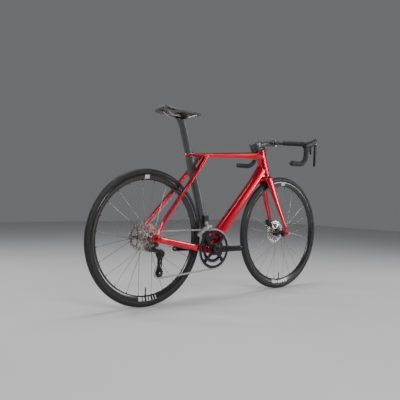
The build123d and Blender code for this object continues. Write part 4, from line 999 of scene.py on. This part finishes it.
class OBJECT_OT_bicycle_cockpit(bpy.types.Operator):
    """Stem, drop bar, wrapped tape, hoods, brake levers and shift paddles"""

    bl_idname = "object.bicycle_cockpit"
    bl_label = "Cockpit"

    def execute(self, context):
        self.stem()
        for side, name in ((-1, "right"), (1, "left")):
            self.half_bar(side, name)
            self.control(side, name)
        path = np.array([(395.0, y, 880.0) for y in np.linspace(-34, 34, 12)])
        build("bar_centre", "carbon", "front_end", "black_metal", ("handlebar",),
              pipe_grid(path, 15.8, 40, (2.0, 2.0)))
        return {"FINISHED"}

    def stem(self):
        """Bearing cover, stem body, bar clamp plate and its bolts."""
        cover = [(*steer_point(s, a), d / 2, w / 2, q) for s, a, d, w, q in (
            (531, -17, 97, 49, 2.2), (536, -19, 97, 48, 2.2), (542, -22, 95, 45.5, 2.2))]
        build("bearing_cover", "carbon", "front_end", "black_metal", ("headset_cover",),
              upright_grid(cover, 12, 64, UP_HEAD, AHEAD_HEAD, (0.1, 0.2)))
        tower = [(*steer_point(s, a), d / 2, w / 2, q) for s, a, d, w, q in (
            (543, -22.5, 95, 45.5, 2.2), (555, -24, 96, 43.5, 2.2), (566, -26, 98, 41.5, 2.2),
            (575, -27.5, 96, 39, 2.2), (577.5, -27.5, 90, 35, 2.2))]
        neck = [(288, 0, 857, 17, 19, 2.8), (320, 0, 863.5, 16.5, 18, 2.8), (355, 0, 871, 16.5, 18.5, 2.8),
                (380, 0, 876.5, 18, 22, 3.0), (393, 0, 879.5, 19, 23, 3.4)]
        shape = Shape().add(upright_grid(tower, 20, 44, UP_HEAD, AHEAD_HEAD, (0.5, 2.0)))
        along, above = unit((1.0, 0.0, 0.21)), unit((-0.21, 0.0, 1.0))
        shape.add(upright_grid(neck, 30, 44, along, above, (2.0, 0.5)))
        piece = merge_moulded(shape.make("stem_body", [LOOKS["carbon"]]), STEM_VOXEL, 4)
        place(piece, "front_end", "black_metal", "stem")
        rows = [(x, 0, 880, h, 23, 3.4) for x, h in ((397, 19), (404, 19.5), (411, 18.5), (415.5, 15))]
        build("bar_clamp_plate", "anodised", "front_end", "black_metal", (),
              upright_grid(rows, 16, 40, FORWARD, UPWARD, (0.2, 1.0)))
        build("clamp_bolts", "steel", "front_end", "black_metal", ("stem_faceplate",),
              *[rod_grid((413.0, y, z), (418.4, y, z), 3.1, 18, 0.5)
                for y in (-15, 15) for z in (863.3, 896.7)])

    def half_bar(self, side, name):
        """Half of the bar: bare by the stem, then wound with tape up to its end plug."""
        points, radii = bar_points(side)
        path = rounded_path(points, radii, 2.0)
        lengths = np.concatenate(([0.0], np.cumsum(np.linalg.norm(np.diff(path, axis=0), axis=1))))
        build(f"bar_{name}", "carbon", "front_end", "black_metal", (),
              pipe_grid(path[lengths < 92.0], 12.4, 32, (0.5, 0.5)))
        tape_start = 84.0
        taped = path[lengths >= tape_start]
        along = lengths[lengths >= tape_start] - tape_start
        around = 40
        turn = np.arange(around)[None] / around * side
        wrap = (along[:, None] * MM / sizes().tape_pitch + turn) % 1.0
        radius = 12.9 + 1.25 * wrap ** 0.6 - 1.1 * np.clip((wrap - 0.93) / 0.07, 0, 1)
        build(f"bar_tape_{name}", "tape", "front_end", "grip_rubber", ("bar_tape",) if side < 0 else (),
              pipe_grid(taped, radius, around, (0.5, 0.5)), sharp=60.0)
        tail = path[-1]
        back = unit(path[-1] - path[-4])
        build(f"bar_plug_{name}", "plastic", "front_end", "black_plastic",
              ("bar_end_plugs",) if side < 0 else (),
              rod_grid(tail - back * 0.5, tail + back * 1.6, 13.8, 32, 1.0),
              rod_grid(tail + back * 1.0, tail + back * 3.0, 8.0, 28, 0.6))

    def control(self, side, name):
        """Hood, brake lever with its pin, and the two shift paddles inside it."""
        y = side * LEVER_SIDE
        hood = [(462, y * 0.985, 859, 16.0, 15.6, 2.2), (480, y * 0.99, 862, 18.5, 16.0, 2.3),
                (505, y, 868, 19.0, 15.4, 2.4), (525, y, 875, 18.6, 14.6, 2.4),
                (542, y, 883, 18.6, 14.2, 2.4), (554, y, 889, 17.6, 12.8, 2.3),
                (561, y, 892, 14.0, 11.0, 2.2)]
        build(f"hood_cover_{name}", "hood", "front_end", "grip_rubber", (f"hood_{name}",),
              upright_grid(hood, 60, 40, FORWARD, UPWARD, (1.0, 2.0)))
        build(f"lever_pin_{name}", "steel", "front_end", "spoke_steel", (),
              cross_rod(np.array((556.0, y, 876.0)), 9.8, 2.6, 20, 0.4))
        lever = [(557, y, 883, 4.5, 5.6, 2.6), (560, y, 872, 8.5, 5.8, 2.4), (560, y, 855, 11.0, 6.0, 2.2),
                 (558.5, y + side * 0.4, 830, 10.4, 6.4, 2.2), (556.5, y + side * 1.0, 800, 8.6, 7.0, 2.2),
                 (554, y + side * 1.8, 772, 6.6, 7.4, 2.2), (551.5, y + side * 2.4, 750, 5.0, 7.2, 2.2),
                 (549.5, y + side * 2.6, 744, 3.4, 5.6, 2.2)]
        build(f"lever_blade_{name}", "anodised", f"brake_lever_{name}", "black_plastic",
              (f"brake_lever_{name}",), upright_grid(lever, 60, 28, DOWNWARD, FORWARD, (0.5, 2.6)))
        inner = y - side * 17.0
        for kind, x, low, deep in (("upshift", 539.5, 812, 6.5), ("downshift", 526.5, 826, 5.6)):
            rows = [(x + 3, inner, 864, 2.6, 1.5, 2.4), (x + 2, inner, 856, 3.2, 1.5, 2.6),
                    (x + 1, inner, (864 + low) / 2, deep * 0.8, 1.5, 2.8),
                    (x, inner, low + 10, deep, 1.5, 2.8), (x - 0.6, inner, low + 1.5, deep * 0.7, 1.4, 2.4)]
            paddle = f"{kind}_paddle_{name}"
            build(f"{kind}_blade_{name}", "plastic", paddle, "black_plastic", (paddle,),
                  upright_grid(rows, 30, 24, DOWNWARD, FORWARD, (0.5, 1.0)))


# ------------------------------------------------------------------ drivetrain
class OBJECT_OT_bicycle_drivetrain(bpy.types.Operator):
    """Cranks, ring bolts and the finishes of rings, chain, cogs and derailleurs"""

    bl_idname = "object.bicycle_drivetrain"
    bl_label = "Drivetrain"

    def execute(self, context):
        for side, forward, name in ((-1, 1, "right"), (1, -1, "left")):
            self.arm(side, forward, name)
        bolts = [BOTTOM_BRACKET + (80 * math.cos(angle), CHAIN_LINE - 1.9, 80 * math.sin(angle))
                 for angle in RING_BOLT_ANGLES]
        build("ring_bolts", "steel", "crankset", "spoke_steel", (),
              *[cross_rod(bolt, 1.0, 4.6, 20, 0.4) for bolt in bolts])
        refinish("crank", "chainrings")
        refinish("steel", "chain")
        refinish("cogs", "cassette")
        refinish("plastic", "front_derailleur_body", "rear_derailleur_body", "rear_derailleur_link",
                 "rear_derailleur_knuckle", "guide_pulley", "tension_pulley")
        self.cage()
        refinish("alloy", "front_derailleur_cage")
        return {"FINISHED"}

    def cage(self):
        """Two slim pulley plates with windows, and the two pulley bolts."""
        guide, tension = GUIDE_PULLEY, TENSION_PULLEY
        along = unit(tension - guide)
        for name, low, high, radius in (("outer", CHAIN_LINE - 7.2, CHAIN_LINE - 4.9, 11.0),
                                        ("inner", CHAIN_LINE + 4.4, CHAIN_LINE + 6.0, 9.5)):
            windows = [strap_loop(guide + along * 16, guide + along * 42, 3.4, 4.6),
                       strap_loop(guide + along * 53, guide + along * 77, 4.6, 3.4)]
            outline = strap_loop(guide, tension, radius, radius * 0.86)
            flat = plate(f"cage_{name}", [outline] + windows, low, high, LOOKS["anodised"], 0.4)
            place(flat, "rear_derailleur_cage", "black_plastic",
                  *(["rear_derailleur_cage"] if name == "outer" else []))
        bolts = []
        for x, z in (guide, tension):
            bolts.append(rod_grid((x, CHAIN_LINE - 7.2, z), (x, CHAIN_LINE + 6.0, z), 3.0, 20, 0.3))
            bolts.append(rod_grid((x, CHAIN_LINE - 7.6, z), (x, CHAIN_LINE - 7.1, z), 4.4, 20, 0.3))
        bolts.append(rod_grid((-451.0, -59.5, 253.0), (-451.0, CHAIN_LINE - 6.0, 253.0), 4.0, 20, 0.2))
        build("cage_bolts", "steel", "rear_derailleur_cage", "black_plastic", (), *bolts)

    def arm(self, side, forward, name):
        """Hollow-look crank arm with a rounded pedal eye."""
        x0, z0 = BOTTOM_BRACKET[0], BOTTOM_BRACKET[2]
        rows = [(x0 + forward * a, side * y, z0, d / 2, w / 2, q) for a, y, d, w, q in (
            (0, 60.0, 46, 15.5, 2.4), (26, 60.6, 42, 15, 2.8), (60, 62.8, 34, 14.5, 3.0),
            (100, 66.0, 30.5, 14, 3.0), (140, 69.0, 29.5, 13.6, 3.0), (165, 71.0, 30.5, 13.6, 2.8),
            (176, 71.2, 29.5, 13.6, 2.4), (186, 71.2, 18, 13.0, 2.2))]
        shape = Shape().add(upright_grid(rows, 60, 36, FORWARD, UPWARD, (14.0, 1.6)))
        low, high = sorted((side * 51.4, side * 67.8))
        shape.add(rod_grid((x0, low, z0), (x0, high, z0), 22.6, 48, 1.0))
        if side < 0:
            shape.add(rod_grid((x0, -51.9, z0), (x0, -46.0, z0), 33.5, 60, 0.6))
            for angle in RING_BOLT_ANGLES:
                c, s = math.cos(angle), math.sin(angle)
                rows = [(x0 + c * a, -50.4, z0 + s * a, w, 1.6, 3.0) for a, w in (
                    (20, 14), (40, 11), (62, 9), (80, 8.6), (87, 6.5))]
                shape.add(flat_grid(rows, 20, 24, (0.5, 1.5), 3))
        piece = merge_moulded(shape.make(f"crank_arm_{name}", [LOOKS["crank"]]), CRANK_VOXEL, 3)
        eye = [(x0 + forward * CRANK_LENGTH, side * y, z0) for y in (50, 90)]
        bore = [(x0, side * y, z0) for y in (40, 90)]
        carve(piece, rod_grid(*eye, 7.15, 32), rod_grid(*bore, 9.0, 32))
        place(piece, "crankset", "crank_alloy", f"crank_{name}")
        if side < 0:
            build("crank_spindle", "steel", "crankset", "crank_alloy", (),
                  rod_grid((x0, -58, z0), (x0, 62, z0), 11.95, 32))


class OBJECT_OT_bicycle_brakes(bpy.types.Operator):
    """Finishes of the disc brakes, axles, bearings and small fittings"""

    bl_idname = "object.bicycle_brakes"
    bl_label = "Brakes and fittings"

    def execute(self, context):
        refinish("anodised", "front_brake_caliper", "rear_brake_caliper", "front_thru_axle",
                 "rear_thru_axle", "bottle_cage_bosses", "seatpost_wedge")
        refinish("pad", "front_pad_left", "front_pad_right", "rear_pad_left", "rear_pad_right")
        refinish("steel", "frame_bearings")
        return {"FINISHED"}


# ------------------------------------------------------------------ stage
def soft_light(name, place_at, aim, size, power):
    """White rectangular area light that looks at a point."""
    data = bpy.data.lights.new(name, "AREA")
    data.shape = "RECTANGLE"
    data.size, data.size_y = size
    data.energy = power
    lamp = bpy.data.objects.new(name, data)
    lamp.location = place_at
    lamp.rotation_euler = (Vector(aim) - Vector(place_at)).to_track_quat("-Z", "Y").to_euler()
    bpy.context.scene.collection.objects.link(lamp)


class OBJECT_OT_bicycle_stage(bpy.types.Operator):
    """Pale floor, soft studio light and the camera"""

    bl_idname = "object.bicycle_stage"
    bl_label = "Stage"

    def execute(self, context):
        half = sizes().floor_size / 2
        mesh = bpy.data.meshes.new("floor")
        corners = [(-half, -half, 0), (half, -half, 0), (half, half, 0), (-half, half, 0)]
        mesh.from_pydata(corners, [], [(0, 1, 2, 3)])
        look = Finish("studio_floor", (0.66, 0.66, 0.67), 0.6)
        look.uneven(2.0, 0.05)
        mesh.materials.append(look.material)
        floor = bpy.data.objects.new("floor", mesh)
        context.scene.collection.objects.link(floor)
        world = bpy.data.worlds.new("studio")
        world.use_nodes = True
        background = world.node_tree.nodes["Background"]
        background.inputs["Color"].default_value = (0.78, 0.79, 0.82, 1.0)
        background.inputs["Strength"].default_value = 0.2
        context.scene.world = world
        soft_light("key_light", (-1.6, -3.0, 2.2), (0.0, 0.0, 0.5), (2.0, 0.7), 70.0)
        soft_light("side_light", (2.6, -1.8, 1.3), (0.1, 0.0, 0.5), (0.5, 1.8), 38.0)
        soft_light("back_light", (-2.4, 2.2, 1.8), (-0.2, 0.0, 0.5), (0.6, 2.0), 48.0)
        soft_light("top_light", (0.0, 0.2, 2.9), (0.0, 0.0, 0.4), (2.4, 0.7), 42.0)
        self.camera(context)
        return {"FINISHED"}

    def camera(self, context):
        """Low camera behind the drive side, level with the hubs, looking forward and left."""
        yaw, pitch, roll = math.radians(49.54), math.radians(-0.41), math.radians(1.54)
        forward = Vector((math.cos(pitch) * math.cos(yaw), math.cos(pitch) * math.sin(yaw), math.sin(pitch)))
        right = forward.cross(Vector((0, 0, 1))).normalized()
        up = right.cross(forward)
        level_right, level_up = right, up
        right = level_right * math.cos(roll) + level_up * math.sin(roll)
        up = level_up * math.cos(roll) - level_right * math.sin(roll)
        turn = Matrix((right, up, -forward)).transposed().to_4x4()
        data = bpy.data.cameras.new("camera")
        data.sensor_width = 36.0
        data.lens = 46.1
        data.clip_start = 0.05
        camera = bpy.data.objects.new("camera", data)
        camera.matrix_world = Matrix.Translation((-1.927, -2.076, 0.549)) @ turn
        context.scene.collection.objects.link(camera)
        context.scene.camera = camera


class VIEW3D_PT_bicycle(bpy.types.Panel):
    """Lists the bicycle's steps in the order they are run"""

    bl_label = "Bicycle"
    bl_space_type = "VIEW_3D"
    bl_region_type = "UI"
    bl_category = "Bicycle"

    def draw(self, context):
        for operator in OPERATORS:
            self.layout.operator(operator.bl_idname)
        for group in (context.scene.bicycle_sizes, context.scene.bicycle_colours):
            for key in group.__annotations__:
                self.layout.prop(group, key)


OPERATORS = (
    OBJECT_OT_bicycle_stage,
    OBJECT_OT_bicycle_frame,
    OBJECT_OT_bicycle_fork,
    OBJECT_OT_bicycle_wheels,
    OBJECT_OT_bicycle_seat,
    OBJECT_OT_bicycle_cockpit,
    OBJECT_OT_bicycle_drivetrain,
    OBJECT_OT_bicycle_brakes,
)
CLASSES = (BicycleSizes, BicycleColours, *OPERATORS, VIEW3D_PT_bicycle)


def register():
    for item in CLASSES:
        bpy.utils.register_class(item)
    bpy.types.Scene.bicycle_sizes = PointerProperty(type=BicycleSizes)
    bpy.types.Scene.bicycle_colours = PointerProperty(type=BicycleColours)


def unregister():
    del bpy.types.Scene.bicycle_colours
    del bpy.types.Scene.bicycle_sizes
    for item in reversed(CLASSES):
        bpy.utils.unregister_class(item)


def main():
    """Makes everything in order."""
    register()
    make_looks()
    bpy.ops.object.bicycle_stage()
    bpy.ops.object.bicycle_frame()
    bpy.ops.object.bicycle_fork()
    bpy.ops.object.bicycle_wheels()
    bpy.ops.object.bicycle_seat()
    bpy.ops.object.bicycle_cockpit()
    bpy.ops.object.bicycle_drivetrain()
    bpy.ops.object.bicycle_brakes()


if __name__ == "__main__":
    main()
